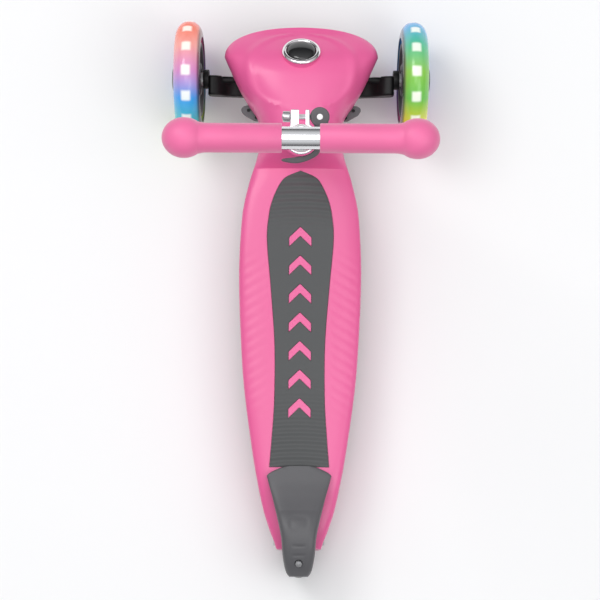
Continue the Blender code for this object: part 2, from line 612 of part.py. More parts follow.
def make_brake(finish, steel, axis):
    """Fender brake with skirts, two hinge lugs, a wear plate and its screw."""
    to_side = Matrix(((0, 0, 1, 0), (1, 0, 0, 0), (0, 1, 0, 0), (0, 0, 0, 1)))
    skirt = [(-0.2890, 0.0600), (-0.2700, 0.0720), (-0.2460, 0.0790), (-0.2220, 0.0750), (-0.2050, 0.0728),
             (-0.1900, 0.0717), (-0.1725, 0.0708)]
    brake = prism("rear_brake", brake_line(0.0) + skirt, -0.04, 0.04, turn=to_side, finish=finish,
                  parent=axis, world=True)
    plan = mirrored(smoothed(BRAKE_SIDE, 2)[:-1] + [BRAKE_SIDE[-1]])
    combine(brake, "INTERSECT", prism("brake_plan", plan, 0.0, 0.12))
    hollow = prism("brake_hollow", brake_line(BRAKE_WALL) + [(-0.2960, 0.0400), (-0.1600, 0.0400)], -0.04, 0.04,
                   turn=to_side)
    inner = [(x * 0.86, -0.2320 + (y + 0.2320) * 0.95) for x, y in plan]
    combine(hollow, "INTERSECT", prism("brake_plan_inner", inner, 0.0, 0.12))
    cut(brake, hollow)
    lugs = [boxes("brake_lug_" + str(k), [((x - 0.003, BRAKE_HINGE.y - 0.0050, BRAKE_HINGE.z - 0.0050),
                                            (x + 0.003, BRAKE_HINGE.y + 0.0050, 0.0738))])
            for k, x in enumerate((-0.0100, 0.0100))]
    join(brake, *lugs)
    cut(brake, tube("brake_pin_way", 0.0, 0.0028, -0.03, 0.03, 14, parent=axis))
    tube("brake_hinge_pin", 0.0, 0.0025, -0.0219, 0.0219, 14, finish=steel, parent=axis)
    legs = ((0.0044, 0.0040, -0.0052), (0.0044, -0.0120, 0.0054))
    coil("brake_spring", 0.0044, 0.0006, 4, -0.0048, 0.0048, steel, axis, legs=legs)
    inner_radius = REAR_RADIUS + BRAKE_GAP
    centre = (REAR_AXLE_Y, REAR_RADIUS)
    band = arc(centre, inner_radius + WEAR_PLATE, 75, 135, 8) + arc(centre, inner_radius, 135, 75, 8)
    plate = prism("brake_wear_plate", band, -0.0105, 0.0105, turn=to_side, finish=steel, parent=axis, world=True)
    tilt = Matrix.Rotation(radians(36), 4, "X")
    hole = frame("brake_screw_axis", (0.0, REAR_AXLE_Y, REAR_RADIUS), tilt)
    ways = [tube("brake_screw_way_" + str(k), 0.0, 0.0023, 0.03, 0.07, 12, parent=hole) for k in (0, 1)]
    cut(brake, ways[0])
    cut(plate, ways[1])
    top = inner_radius + WEAR_PLATE + 0.0005 + BRAKE_WALL
    screw = [(0.0, inner_radius + 0.0004), (0.0020, inner_radius + 0.0004), (0.0020, top + 0.0005),
             (0.0038, top + 0.0005), (0.0034, top + 0.0020), (0.0, top + 0.0024)]
    obj = lathe("brake_screw", screw, 14, finish=steel)
    obj.matrix_world = axis.matrix_world.inverted() @ hole.matrix_world
    obj.parent = axis


# Stem, clamp and handlebar.

def clamp_height():
    """Middle of the clamp on the stem's axis."""
    return LOWER_TUBE_LENGTH - 0.0120


def make_stem(alloy, plastic, steel, stem):
    foot = -0.0220
    top = LOWER_TUBE_LENGTH
    inner = LOWER_TUBE_RADIUS - LOWER_TUBE_WALL
    lower = tube("lower_tube", inner, LOWER_TUBE_RADIUS, foot, top, 28, finish=alloy, parent=stem)
    way = frame_x("stem_bolt_axis", stem, 0.0150)
    cut(lower, tube("lower_tube_bolt_way", 0.0, 0.0028, -0.03, 0.03, 12, parent=way))
    bolt = [(0.0, -0.0225), (0.0045, -0.0225), (0.0045, -0.0195), (0.0025, -0.0195), (0.0025, 0.0215), (0.0, 0.0215)]
    across = frame_x("stem_bolt_axis", stem, 0.0150)
    lathe("stem_bolt", bolt, 12, finish=steel, parent=across)
    hex_nut("stem_nut", 0.0025 + GAP, 0.0052, 0.0195, 0.0222, finish=steel, parent=across)
    bush = [(UPPER_TUBE_RADIUS + RUN, top - 0.0350), (inner - GAP, top - 0.0350), (inner - GAP, top + GAP),
            (LOWER_TUBE_RADIUS, top + GAP), (LOWER_TUBE_RADIUS, top + 0.0015), (UPPER_TUBE_RADIUS + RUN, top + 0.0015)]
    lathe("tube_bush", bush, 28, finish=plastic, parent=stem)


def cam_x():
    return EAR_RIGHT + GAP + CAM_RADIUS


def make_clamp(alloy, steel, dark, stem, lever_axis):
    """Split collar with two ears, the skewer through them, its nut, the cam's barrel and the lever."""
    middle = clamp_height()
    low, high = middle - CLAMP_HALF, middle + CLAMP_HALF
    collar = tube("clamp_collar", 0.0, CLAMP_RADIUS, low, high, 32, finish=alloy, parent=stem)
    ears = prism("clamp_ears", [(EAR_LEFT, 0.0), (EAR_RIGHT, 0.0), (EAR_RIGHT, 0.0255), (EAR_RIGHT - 0.0015, 0.0275),
                                (EAR_LEFT + 0.0015, 0.0275), (EAR_LEFT, 0.0255)], low, high, parent=stem)
    join(collar, ears)
    bore = tube("clamp_bore", 0.0, LOWER_TUBE_RADIUS + GAP, low - 0.01, high + 0.01, 28, parent=stem)
    slit = boxes("clamp_slit", [((-0.0022, 0.0, low - 0.01), (0.0045, 0.04, high + 0.01))], parent=stem)
    across = child_frame("skewer_axis", stem, (0, SKEWER_AHEAD, middle), Matrix.Rotation(pi / 2, 4, "Y"))
    way = tube("skewer_way", 0.0, 0.0028, -0.03, 0.02, 14, parent=across)
    cut(collar, bore, slit, way)
    tube("clamp_skewer", 0.0, 0.0025, -0.0182, cam_x() - 0.0030 - GAP, 14, finish=steel, parent=across)
    tube("clamp_nut", 0.0025 + GAP, 0.0053, -0.0176, EAR_LEFT - GAP, 20, edge=0.0008, finish=steel, parent=across)
    tube("cam_barrel", 0.0, 0.0030, -0.0080, 0.0080, 16, finish=steel, parent=lever_axis)
    arm = [(0.0125, 0.0125), (0.0166, 0.0030), (0.0168, -0.0030), (0.0148, -0.0088), (0.0102, -0.0138),
           (0.0040, -0.0168), (-0.0030, -0.0178), (-0.0080, -0.0188), (-0.0165, -0.0198), (-0.0185, -0.0210),
           (-0.0172, -0.0226), (-0.0100, -0.0240), (-0.0030, -0.0242), (0.0040, -0.0226), (0.0105, -0.0200),
           (0.0165, -0.0160), (0.0200, -0.0090), (0.0212, 0.0000), (0.0232, 0.0090), (0.0265, 0.0160),
           (0.0180, 0.0200)]
    about = [(x - cam_x(), y - SKEWER_AHEAD) for x, y in arm]
    lever = prism("clamp_lever", about, -0.0070, 0.0070, finish=dark, parent=lever_axis)
    join(lever, tube("cam_head", 0.0, CAM_RADIUS, -0.0080, 0.0080, 28, parent=lever_axis))
    slot = boxes("cam_slot", [((-0.02, -0.0033, -0.0033), (0.02, 0.02, 0.0033))], parent=lever_axis)
    return cut(lever, slot, tube("cam_bore", 0.0, 0.0033, -0.02, 0.02, 16, parent=lever_axis))


def make_handlebar(chrome, pink, plastic, slide):
    """Welded T of the upper tube and the cross tube, its lower guide and the two grips with ball ends."""
    across = child_frame("cross_axis", slide, (0, 0, HANDLEBAR_RISE), Matrix.Rotation(pi / 2, 4, "Y"))
    low = HANDLEBAR_RISE - UPPER_TUBE_LENGTH
    bar = tube("handlebar_tube", 0.0, UPPER_TUBE_RADIUS, low, HANDLEBAR_RISE, 28, finish=chrome, parent=slide)
    inner = UPPER_TUBE_RADIUS - UPPER_TUBE_WALL
    join(bar, tube("cross_tube", 0.0, UPPER_TUBE_RADIUS, -HANDLEBAR_HALF, HANDLEBAR_HALF, 28, parent=across))
    cut(bar, tube("upper_bore", 0.0, inner, low - 0.01, HANDLEBAR_RISE, 28, parent=slide))
    cut(bar, tube("cross_bore", 0.0, inner, -HANDLEBAR_HALF - 0.01, HANDLEBAR_HALF + 0.01, 20, parent=across))
    plug = [(0.0, low - 0.0050), (UPPER_TUBE_RADIUS + 0.0008, low - 0.0050), (UPPER_TUBE_RADIUS + 0.0008, low - GAP),
            (inner - GAP, low - GAP), (inner - GAP, low + 0.0120), (0.0, low + 0.0120)]
    lathe("upper_tube_guide", plug, 28, finish=plastic, parent=slide)
    bore = UPPER_TUBE_RADIUS + GAP
    ball = GRIP_END_X - GRIP_BALL_X
    meet = 128.0
    grip = [(bore, GRIP_START), (GRIP_RADIUS - 0.0010, GRIP_START), (GRIP_RADIUS, GRIP_START + 0.0010),
            (GRIP_RADIUS, 0.0900)]
    for k in range(13):
        turn = radians(meet * (1 - k / 12))
        grip.append((GRIP_BALL_RADIUS * sin(turn), GRIP_BALL_X + ball * cos(turn)))
    grip += [(0.0, HANDLEBAR_HALF + GAP), (bore, HANDLEBAR_HALF + GAP)]
    for side, turn in (("left", Matrix.Rotation(-pi / 2, 4, "Y")), ("right", Matrix.Rotation(pi / 2, 4, "Y"))):
        out = child_frame("grip_axis_" + side, slide, (0, 0, HANDLEBAR_RISE), turn)
        lathe("grip_" + side, grip, 32, finish=pink, parent=out)


def front_axle_height():
    """Height of a front wheel's centre, so that its leaning tread just meets the ground."""
    return (FRONT_RADIUS - FRONT_TREAD_CURVE) * cos(CAMBER) + FRONT_TREAD_CURVE


def main():
    for obj in list(bpy.data.objects):
        bpy.data.objects.remove(obj)
    pink = material("pink plastic", (0.82, 0.14, 0.35), 0.35)
    dark = material("dark grey plastic", (0.10, 0.10, 0.11), 0.5)
    mat = material("grey rubber mat", (0.12, 0.13, 0.13), 0.8)
    black = material("black plastic", (0.012, 0.012, 0.013), 0.25)
    alloy = material("polished aluminium", (0.80, 0.80, 0.82), 0.2, 1.0)
    steel = material("zinc-plated steel", (0.55, 0.55, 0.56), 0.35, 1.0)
    white = material("white bearing plastic", (0.75, 0.75, 0.75), 0.4)
    grip = material("pink grip rubber", (0.83, 0.20, 0.40), 0.6)
    finishes = {
        "tyre": material("clear polyurethane", (0.55, 0.60, 0.60), 0.15, alpha=0.7),
        "light": material("light ring", (0.9, 0.9, 0.9), 0.2),
        "hub": material("dark hub plastic", (0.05, 0.05, 0.055), 0.45),
        "rear_tyre": material("black polyurethane", (0.03, 0.03, 0.03), 0.4),
        "steel": steel,
    }
    steer = frame("lean_steer_axis", STEER_PIVOT, Matrix.Rotation(-STEER_TILT, 4, "X"))
    stem = frame("stem_axis", STEM_FOOT, Matrix.Rotation(STEM_LEAN, 4, "X"))
    slide = child_frame("height_slide_axis", stem, (0, 0, 0))
    rear_axle = frame("rear_wheel_axis", (0, REAR_AXLE_Y, REAR_RADIUS), Matrix.Rotation(pi / 2, 4, "Y"))
    brake_hinge = frame("brake_hinge_axis", BRAKE_HINGE, Matrix.Rotation(pi / 2, 4, "Y"))
    lever_axis = child_frame("clamp_lever_axis", stem, (cam_x(), SKEWER_AHEAD, clamp_height()))
    bpy.context.view_layer.update()
    make_deck(pink, steer, stem, rear_axle, brake_hinge)
    make_mat(mat)
    wheels = []
    for side, sign in (("left", -1), ("right", 1)):
        place = (sign * TRACK / 2, FRONT_AXLE_Y, front_axle_height())
        axle = frame("front_wheel_axis_" + side, place, Matrix.Rotation(sign * (pi / 2 + CAMBER), 4, "Y"))
        make_front_wheel(side, axle, finishes)
        wheels.append(axle)
    make_beam(black, steer, wheels)
    make_pivot(steel, white, steer)
    make_housing(dark, steel)
    make_lock(alloy, black, steel, steer)
    make_steering_springs(steel)
    make_rear_wheel(rear_axle, finishes)
    make_brake(dark, steel, brake_hinge)
    make_stem(alloy, white, steel, stem)
    make_clamp(alloy, steel, dark, stem, lever_axis)
    make_handlebar(alloy, grip, white, slide)


main()
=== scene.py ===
"""Looks of the three-wheel child's kick scooter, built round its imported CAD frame. Metres."""

import json
from math import cos, pi, radians, sin

import bmesh
import bpy
from mathutils import Matrix, Vector


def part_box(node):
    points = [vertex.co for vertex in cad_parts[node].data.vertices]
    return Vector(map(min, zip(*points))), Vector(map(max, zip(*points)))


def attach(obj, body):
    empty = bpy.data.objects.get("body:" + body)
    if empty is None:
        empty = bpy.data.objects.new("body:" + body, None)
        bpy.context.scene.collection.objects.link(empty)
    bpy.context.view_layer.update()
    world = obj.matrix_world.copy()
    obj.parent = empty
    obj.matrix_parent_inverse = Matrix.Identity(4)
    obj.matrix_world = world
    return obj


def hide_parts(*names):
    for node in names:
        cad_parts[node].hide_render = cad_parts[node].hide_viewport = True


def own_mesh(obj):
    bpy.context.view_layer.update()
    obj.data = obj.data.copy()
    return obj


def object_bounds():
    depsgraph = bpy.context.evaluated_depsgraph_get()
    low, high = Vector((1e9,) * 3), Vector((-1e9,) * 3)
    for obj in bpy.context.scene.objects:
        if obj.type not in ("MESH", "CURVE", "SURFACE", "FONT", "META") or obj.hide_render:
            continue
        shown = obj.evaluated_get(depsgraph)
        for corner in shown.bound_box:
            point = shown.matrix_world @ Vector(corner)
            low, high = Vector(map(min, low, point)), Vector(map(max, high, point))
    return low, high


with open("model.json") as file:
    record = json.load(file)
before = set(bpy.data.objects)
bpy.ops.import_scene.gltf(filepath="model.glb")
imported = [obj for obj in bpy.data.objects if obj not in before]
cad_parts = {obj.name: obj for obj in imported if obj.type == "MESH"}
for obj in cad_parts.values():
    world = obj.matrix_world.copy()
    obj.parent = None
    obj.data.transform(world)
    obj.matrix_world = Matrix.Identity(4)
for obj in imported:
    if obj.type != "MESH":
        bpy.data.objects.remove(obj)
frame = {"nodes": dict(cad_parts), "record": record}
CAD_BOX = [list(corner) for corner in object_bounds()]
NODES = frame["nodes"]
SLOTS = {row["node"]: row["material_slot"] for row in frame["record"]["subparts"]}
JOINTS = {row["name"]: row for row in frame["record"]["behaviour"]["joints"]}


# Shader maths.

class Value:
    """A shader socket that takes part in Python arithmetic; each operation adds its Math node."""

    def __init__(self, look, socket):
        self.look = look
        self.socket = socket

    def math(self, operation, *others):
        return self.look.math(operation, self, *others)

    def __add__(self, other):
        return self.math("ADD", other)

    __radd__ = __add__

    def __sub__(self, other):
        return self.math("SUBTRACT", other)

    def __rsub__(self, other):
        return self.look.math("SUBTRACT", other, self)

    def __mul__(self, other):
        return self.math("MULTIPLY", other)

    __rmul__ = __mul__

    def __truediv__(self, other):
        return self.math("DIVIDE", other)

    def __pow__(self, other):
        return self.math("POWER", other)


class Look:
    """A material with one Principled shader."""

    def __init__(self, name, colour, roughness, metallic=0.0, **constants):
        self.material = bpy.data.materials.new(name)
        self.material.use_nodes = True
        self.tree = self.material.node_tree
        self.shader = self.tree.nodes["Principled BSDF"]
        self.shader.inputs["Base Color"].default_value = (*colour, 1.0)
        self.shader.inputs["Roughness"].default_value = roughness
        self.shader.inputs["Metallic"].default_value = metallic
        for socket, value in constants.items():
            self.shader.inputs[socket.replace("_", " ")].default_value = value

    def node(self, kind, output, settings=None, **inputs):
        """Adds a node: its settings first, then the values or links of its sockets, by name or index."""
        made = self.tree.nodes.new(kind)
        for name, value in (settings or {}).items():
            setattr(made, name, value)
        for name, value in inputs.items():
            key = int(name[1:]) if name[0] == "i" and name[1:].isdigit() else name.replace("_", " ")
            self.feed(made.inputs[key], value)
        return Value(self, made.outputs[output])

    def feed(self, socket, value):
        if isinstance(value, Value):
            self.tree.links.new(value.socket, socket)
        else:
            socket.default_value = value

    def math(self, operation, *values):
        inputs = {"i" + str(k): value for k, value in enumerate(values)}
        return self.node("ShaderNodeMath", 0, {"operation": operation}, **inputs)

    def place(self):
        return self.node("ShaderNodeTexCoord", "Object")

    def split(self, vector):
        parts = self.node("ShaderNodeSeparateXYZ", 0, None, Vector=vector)
        outputs = parts.socket.node.outputs
        return [Value(self, outputs[k]) for k in range(3)]

    def noise(self, scale, detail=3.0, roughness=0.5, where=None):
        return self.node(
            "ShaderNodeTexNoise", 0, None, Vector=where or self.place(), Scale=scale, Detail=detail,
            Roughness=roughness,
        )

    def ramp(self, factor, stops, easing="LINEAR"):
        made = self.tree.nodes.new("ShaderNodeValToRGB")
        made.color_ramp.interpolation = easing
        elements = made.color_ramp.elements
        while len(elements) < len(stops):
            elements.new(1.0)
        for element, (at, colour) in zip(elements, stops):
            element.position = at
            element.color = (*colour, 1.0)
        self.feed(made.inputs[0], factor)
        return Value(self, made.outputs[0])

    def mix(self, factor, first, second):
        made = self.tree.nodes.new("ShaderNodeMix")
        made.data_type = "RGBA"
        self.feed(made.inputs[0], factor)
        for socket, value in ((made.inputs[6], first), (made.inputs[7], second)):
            self.feed(socket, value if isinstance(value, Value) else (*value, 1.0))
        return Value(self, made.outputs[2])

    def step(self, value, low, high):
        """0 below low, 1 above high, eased between."""
        return self.node(
            "ShaderNodeMapRange", 0, {"interpolation_type": "SMOOTHSTEP"}, Value=value, From_Min=low,
            From_Max=high, To_Min=0.0, To_Max=1.0,
        )

    def colour(self, value):
        self.feed(self.shader.inputs["Base Color"], value)
        return self

    def roughness(self, value):
        self.feed(self.shader.inputs["Roughness"], value)
        return self

    def bump(self, height, distance, strength=1.0):
        normal = self.node("ShaderNodeBump", 0, None, Height=height, Distance=distance, Strength=strength)
        self.feed(self.shader.inputs["Normal"], normal)
        return self


def moulded(name, colour, roughness, grain, depth, change=0.06, **constants):
    """Moulded plastic or rubber: a fine grain, slow colour change and uneven gloss."""
    look = Look(name, colour, roughness, **constants)
    slow = look.noise(22.0, 2.0)
    fine = look.noise(grain, 2.0)
    deep = tuple(c * (1 - 2.2 * change) for c in colour)
    light = tuple(min(1.0, c * (1 + change)) for c in colour)
    look.colour(look.mix(slow, deep, light))
    look.roughness(roughness - 0.05 + 0.10 * slow + 0.04 * fine)
    return look.bump(fine, depth, 0.5)


def metal(name, colour, roughness, streak, depth=0.00002):
    """Polished or plated metal with faint streaks and smudges."""
    look = Look(name, colour, roughness, 1.0)
    smudge = look.noise(38.0, 3.0)
    fine = look.noise(streak, 2.0)
    look.colour(look.mix(smudge, tuple(c * 0.90 for c in colour), colour))
    look.roughness(roughness * 0.75 + roughness * 0.5 * smudge + 0.04 * fine)
    return look.bump(fine, depth, 0.25)


def mat_look():
    """Grey grip mat: cross ripples at both ends that fade in the middle, and a fine pebble grain."""
    look = Look("mat rubber", (0.125, 0.135, 0.138), 0.62)
    where = look.place()
    x, y, _ = look.split(where)
    slow = look.noise(9.0, 2.0)
    fine = look.noise(1400.0, 2.0)
    curve = y + 2.2 * (x * x)
    wave = (curve * 760.0 + 0.8 * slow).math("SINE")
    ends = look.step(y, 0.060, 0.100) + (1.0 - look.step(y, -0.150, -0.055))
    look.colour(look.mix(slow, (0.068, 0.071, 0.072), (0.096, 0.099, 0.101)))
    look.roughness(0.52 + 0.14 * slow + 0.05 * fine)
    return look.bump(wave * ends + 0.10 * fine, 0.0009, 0.65).material


def deck_look():
    """Pink deck plastic with faint cross ridges along the shoulders beside the mat."""
    colour = (0.84, 0.120, 0.335)
    look = Look("deck plastic", colour, 0.30, Coat_Weight=0.25, Coat_Roughness=0.18)
    x, y, z = look.split(look.place())
    slow = look.noise(7.0, 2.0)
    fine = look.noise(900.0, 2.0)
    wave = ((y + 0.6 * x.math("ABSOLUTE")) * 560.0).math("SINE")
    band = look.step(y, -0.140, -0.090) * (1.0 - look.step(y, 0.020, 0.060))
    side = look.step(x.math("ABSOLUTE"), 0.030, 0.036) * look.step(z, 0.060, 0.066)
    look.colour(look.mix(slow, (0.800, 0.100, 0.305), (0.870, 0.140, 0.365)))
    look.roughness(0.30 + 0.08 * slow + 0.03 * fine)
    return look.bump(wave * band * side + 0.05 * fine, 0.00035, 0.5).material


# Lamp colours seen through a front tyre, all the way round from straight ahead up over the top.
LAMPS = {
    "left": [(0.00, (0.80, 0.03, 0.02)), (0.10, (0.82, 0.10, 0.02)), (0.17, (0.85, 0.32, 0.28)),
             (0.25, (0.62, 0.22, 0.50)), (0.33, (0.02, 0.30, 0.75)), (0.42, (0.02, 0.46, 0.42)),
             (0.50, (0.06, 0.46, 0.08)), (0.62, (0.50, 0.62, 0.02)), (0.75, (0.06, 0.32, 0.70)),
             (0.88, (0.50, 0.06, 0.45)), (1.00, (0.80, 0.03, 0.02))],
    "right": [(0.00, (0.01, 0.14, 0.56)), (0.08, (0.02, 0.34, 0.66)), (0.17, (0.06, 0.46, 0.24)),
              (0.25, (0.20, 0.50, 0.04)), (0.33, (0.10, 0.46, 0.04)), (0.41, (0.66, 0.62, 0.01)),
              (0.50, (0.75, 0.05, 0.02)), (0.62, (0.60, 0.05, 0.24)), (0.75, (0.16, 0.10, 0.60)),
              (0.88, (0.01, 0.28, 0.60)), (1.00, (0.01, 0.14, 0.56))],
}
LAMPS_ROUND = 14


def tyre_look(side, axle):
    """Clear polyurethane lit from inside: lamp colours round the wheel and a pale window at each lamp."""
    look = Look("tyre light " + side, (0.5, 0.6, 0.6), 0.16, Coat_Weight=0.2, Coat_Roughness=0.08,
                Emission_Strength=0.22, IOR=1.5)
    x, y, z = look.split(look.place())
    centre, out_way = axle.translation, axle.to_3x3().col[2]
    out = (x - centre.x) * out_way.x + (z - centre.z) * out_way.z
    turn = look.math("ARCTAN2", z - centre.z, y - centre.y) / (2 * pi) + 1.0
    turn = turn.math("FRACT")
    colour = look.ramp(turn, LAMPS[side])
    lamp = ((turn * LAMPS_ROUND).math("FRACT") - 0.5).math("ABSOLUTE")
    window = (1.0 - look.step(lamp, 0.13, 0.26)) * (1.0 - look.step(out.math("ABSOLUTE"), 0.0030, 0.0062))
    cloud = look.noise(60.0, 3.0)
    milky = look.mix(0.10 * cloud, colour, (0.70, 0.72, 0.74))
    lit = look.mix(window * 0.80, milky, (0.95, 0.95, 0.86))
    rim = look.step(0.0 - out, 0.0100, 0.0128)
    look.colour(look.mix(rim * 0.75, lit, (0.05, 0.055, 0.06)))
    look.feed(look.shader.inputs["Emission Color"], look.mix(rim, lit, (0.01, 0.01, 0.01)))
    look.roughness(0.12 + 0.12 * cloud)
    return look.bump(look.noise(500.0), 0.00005, 0.3).material


def finishes():
    """A material for each of the record's slots."""
    return {
        "deck_pink": deck_look(),
        "mat_grey": mat_look(),
        "dark_grey": moulded(
            "dark grey plastic", (0.098, 0.097, 0.104), 0.42, 1600.0, 0.00012
        ).material,
        "beam_black": moulded("beam black", (0.006, 0.0062, 0.0065), 0.40, 900.0, 0.00006,
                              Specular_IOR_Level=0.25).material,
        "button_black": moulded(
            "button black", (0.006, 0.006, 0.007), 0.14, 600.0, 0.00002, Coat_Weight=0.6
        ).material,
        "chrome": metal("chrome trim", (0.93, 0.90, 0.92), 0.06, 900.0).material,
        "tube_silver": metal("polished tube", (0.86, 0.86, 0.88), 0.13, 1500.0).material,
        "clamp_silver": metal("polished clamp", (0.84, 0.84, 0.87), 0.16, 1200.0).material,
        "grip_pink": moulded(
            "grip rubber", (0.84, 0.155, 0.36), 0.44, 1300.0, 0.00016, Sheen_Weight=0.25
        ).material,
        "rear_tyre": moulded("rear tyre", (0.028, 0.028, 0.030), 0.38, 900.0, 0.0001).material,
        "light_ring": moulded("light ring", (0.78, 0.82, 0.84), 0.22, 800.0, 0.00004).material,
        "hub_dark": moulded("hub plastic", (0.050, 0.052, 0.058), 0.40, 1400.0, 0.0001).material,
        "bush_white": moulded("bush plastic", (0.72, 0.72, 0.70), 0.40, 900.0, 0.00005).material,
        "steel": metal("zinc steel", (0.60, 0.60, 0.61), 0.30, 1000.0).material,
    }


# Modelling helpers.

def start_clean():
    """Object mode with nothing selected, as every new piece needs."""
    if bpy.context.object and bpy.context.object.mode != "OBJECT":
        bpy.ops.object.mode_set(mode="OBJECT")
    bpy.ops.object.select_all(action="DESELECT")


def settle(obj, place=None, angle=35.0):
    """Puts a piece in its place, applies that to its mesh and shades it smooth but for its edges."""
    start_clean()
    obj.select_set(True)
    bpy.context.view_layer.objects.active = obj
    if place:
        obj.matrix_world = place @ obj.matrix_world
    bpy.ops.object.transform_apply(location=True, rotation=True, scale=True)
    bpy.ops.object.mode_set(mode="EDIT")
    bpy.ops.mesh.select_all(action="SELECT")
    bpy.ops.mesh.remove_doubles(threshold=1e-6)
    bpy.ops.mesh.normals_make_consistent(inside=False)
    bpy.ops.object.mode_set(mode="OBJECT")
    bpy.ops.object.shade_smooth_by_angle(angle=radians(angle))
    return obj


def filleted(points, radius, steps=4, closed=True):
    """A profile with its corners rounded by arcs, as large as its sides allow up to the radius."""
    found = []
    count = len(points)
    for k, point in enumerate(points):
        if not closed and k in (0, count - 1):
            found.append(point)
            continue
        here = Vector(point)
        to_before = Vector(points[k - 1]) - here
        to_after = Vector(points[(k + 1) % count]) - here
        reach = min(radius, to_before.length * 0.45, to_after.length * 0.45)
        first, last = here + to_before.normalized() * reach, here + to_after.normalized() * reach
        for j in range(steps + 1):
            t = j / steps
            found.append(tuple(first * (1 - t) ** 2 + here * 2 * t * (1 - t) + last * t**2))
    return found


def turned(name, profile, place, steps=72, angle=35.0):
    """A turned piece: one vertex is extruded along the (radius, height) profile, then spun round the axis."""
    start_clean()
    bpy.ops.mesh.primitive_plane_add(size=0.001)
    obj = bpy.context.object
    obj.name = name
    bpy.ops.object.mode_set(mode="EDIT")
    bpy.ops.mesh.select_all(action="SELECT")
    bpy.ops.mesh.merge(type="CENTER")
    bpy.ops.transform.translate(value=(profile[0][0], 0.0, profile[0][1]))
    closed = profile[0][0] > 1e-6 or profile[-1][0] > 1e-6
    path = list(profile) + ([profile[0]] if closed else [])
    for (r0, h0), (r1, h1) in zip(path, path[1:]):
        bpy.ops.mesh.extrude_region_move(TRANSFORM_OT_translate={"value": (r1 - r0, 0.0, h1 - h0)})
    bpy.ops.mesh.select_all(action="SELECT")
    bpy.ops.mesh.spin(steps=steps, angle=2 * pi, center=(0, 0, 0), axis=(0, 0, 1), dupli=False)
    bpy.ops.object.mode_set(mode="OBJECT")
    return settle(obj, place, angle)


def rod(radius, low, high):
    """Profile of a solid round bar between two heights."""
    return [(0.0, low), (radius, low), (radius, high), (0.0, high)]


def slab(name, outline, low, high, place=None):
    """A flat outline drawn by extruding one vertex round it, filled, and extruded from low to high."""
    start_clean()
    bpy.ops.mesh.primitive_plane_add(size=0.001)
    obj = bpy.context.object
    obj.name = name
    bpy.ops.object.mode_set(mode="EDIT")
    bpy.ops.mesh.select_all(action="SELECT")
    bpy.ops.mesh.merge(type="CENTER")
    bpy.ops.transform.translate(value=(outline[0][0], outline[0][1], low))
    for (x0, y0), (x1, y1) in zip(outline, list(outline[1:]) + [outline[0]]):
        bpy.ops.mesh.extrude_region_move(TRANSFORM_OT_translate={"value": (x1 - x0, y1 - y0, 0.0)})
    bpy.ops.mesh.select_all(action="SELECT")
    bpy.ops.mesh.remove_doubles(threshold=1e-6)
    bpy.ops.mesh.edge_face_add()
    bpy.ops.mesh.extrude_region_move(TRANSFORM_OT_translate={"value": (0.0, 0.0, high - low)})
    bpy.ops.object.mode_set(mode="OBJECT")
    return settle(obj, place)


def block(name, low, high, place=None):
    """A box between two corners, as a tool for a cut or a join."""
    start_clean()
    middle = [(a + b) / 2 for a, b in zip(low, high)]
    bpy.ops.mesh.primitive_cube_add(size=1.0, location=middle, scale=[b - a for a, b in zip(low, high)])
    obj = bpy.context.object
    obj.name = name
    return settle(obj, place)


def apply_modifier(obj, kind, **settings):
    start_clean()
    obj.select_set(True)
    bpy.context.view_layer.objects.active = obj
    modifier = obj.modifiers.new(kind.title(), kind)
    for name, value in settings.items():
        setattr(modifier, name, value)
    bpy.ops.object.modifier_apply(modifier=modifier.name)
    return obj


def round_edges(obj, width, steps=3, angle=40.0):
    apply_modifier(
        obj, "BEVEL", width=width, segments=steps, limit_method="ANGLE", angle_limit=radians(angle),
        use_clamp_overlap=True, harden_normals=False,
    )
    start_clean()
    obj.select_set(True)
    bpy.context.view_layer.objects.active = obj
    bpy.ops.object.shade_smooth_by_angle(angle=radians(35))
    return obj


def carve(obj, operation, *tools):
    """Cuts tools from a piece or joins them to it, and removes the tools."""
    for tool in tools:
        apply_modifier(obj, "BOOLEAN", operation=operation, object=tool, solver="EXACT")
        bpy.data.objects.remove(tool)
    return obj


def dress(obj, finish, body, *nodes):
    """Gives a piece its finish and body, and lets it stand for the CAD nodes that it replaces."""
    obj.data.materials.clear()
    obj.data.materials.append(FINISH[finish] if isinstance(finish, str) else finish)
    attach(obj, body)
    if nodes:
        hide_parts(*nodes)
    return obj


FINISH = finishes()

# Places, all from the frame.

def middle_of(node):
    low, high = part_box(node)
    return (low + high) / 2


def axis_frame(joint, flip=1.0):
    """A joint's own frame: its Z along the axis, its X as near the scooter's X as that allows."""
    row = JOINTS[joint]
    up = Vector(row["axis"]).normalized() * flip
    across = Vector((1, 0, 0)) if abs(up.x) < 0.9 else Vector((0, 0, -up.x / abs(up.x)))
    ahead = up.cross(across).normalized()
    across = ahead.cross(up).normalized()
    turn = Matrix((across, ahead, up)).transposed().to_4x4()
    return Matrix.Translation(row.get("pos_m") or (0, 0, 0)) @ turn


STEM_LEAN = axis_frame("height_slide")
LEVER = axis_frame("clamp_lever_swing")
AXLES = {side: axis_frame("wheel_" + side + "_spin") for side in ("left", "right")}
REAR_AXLE = axis_frame("rear_wheel_spin")
STEER = axis_frame("lean_steer")


def stem_frame():
    """The stem's frame, its origin on the axis level with the clamp's lever."""
    clamp = LEVER.inverted() @ middle_of("clamp_collar")
    tube_mid = STEM_LEAN.inverted() @ middle_of("lower_tube")
    lever_at = STEM_LEAN.inverted() @ LEVER.translation
    return STEM_LEAN @ Matrix.Translation((tube_mid.x, tube_mid.y, lever_at.z))


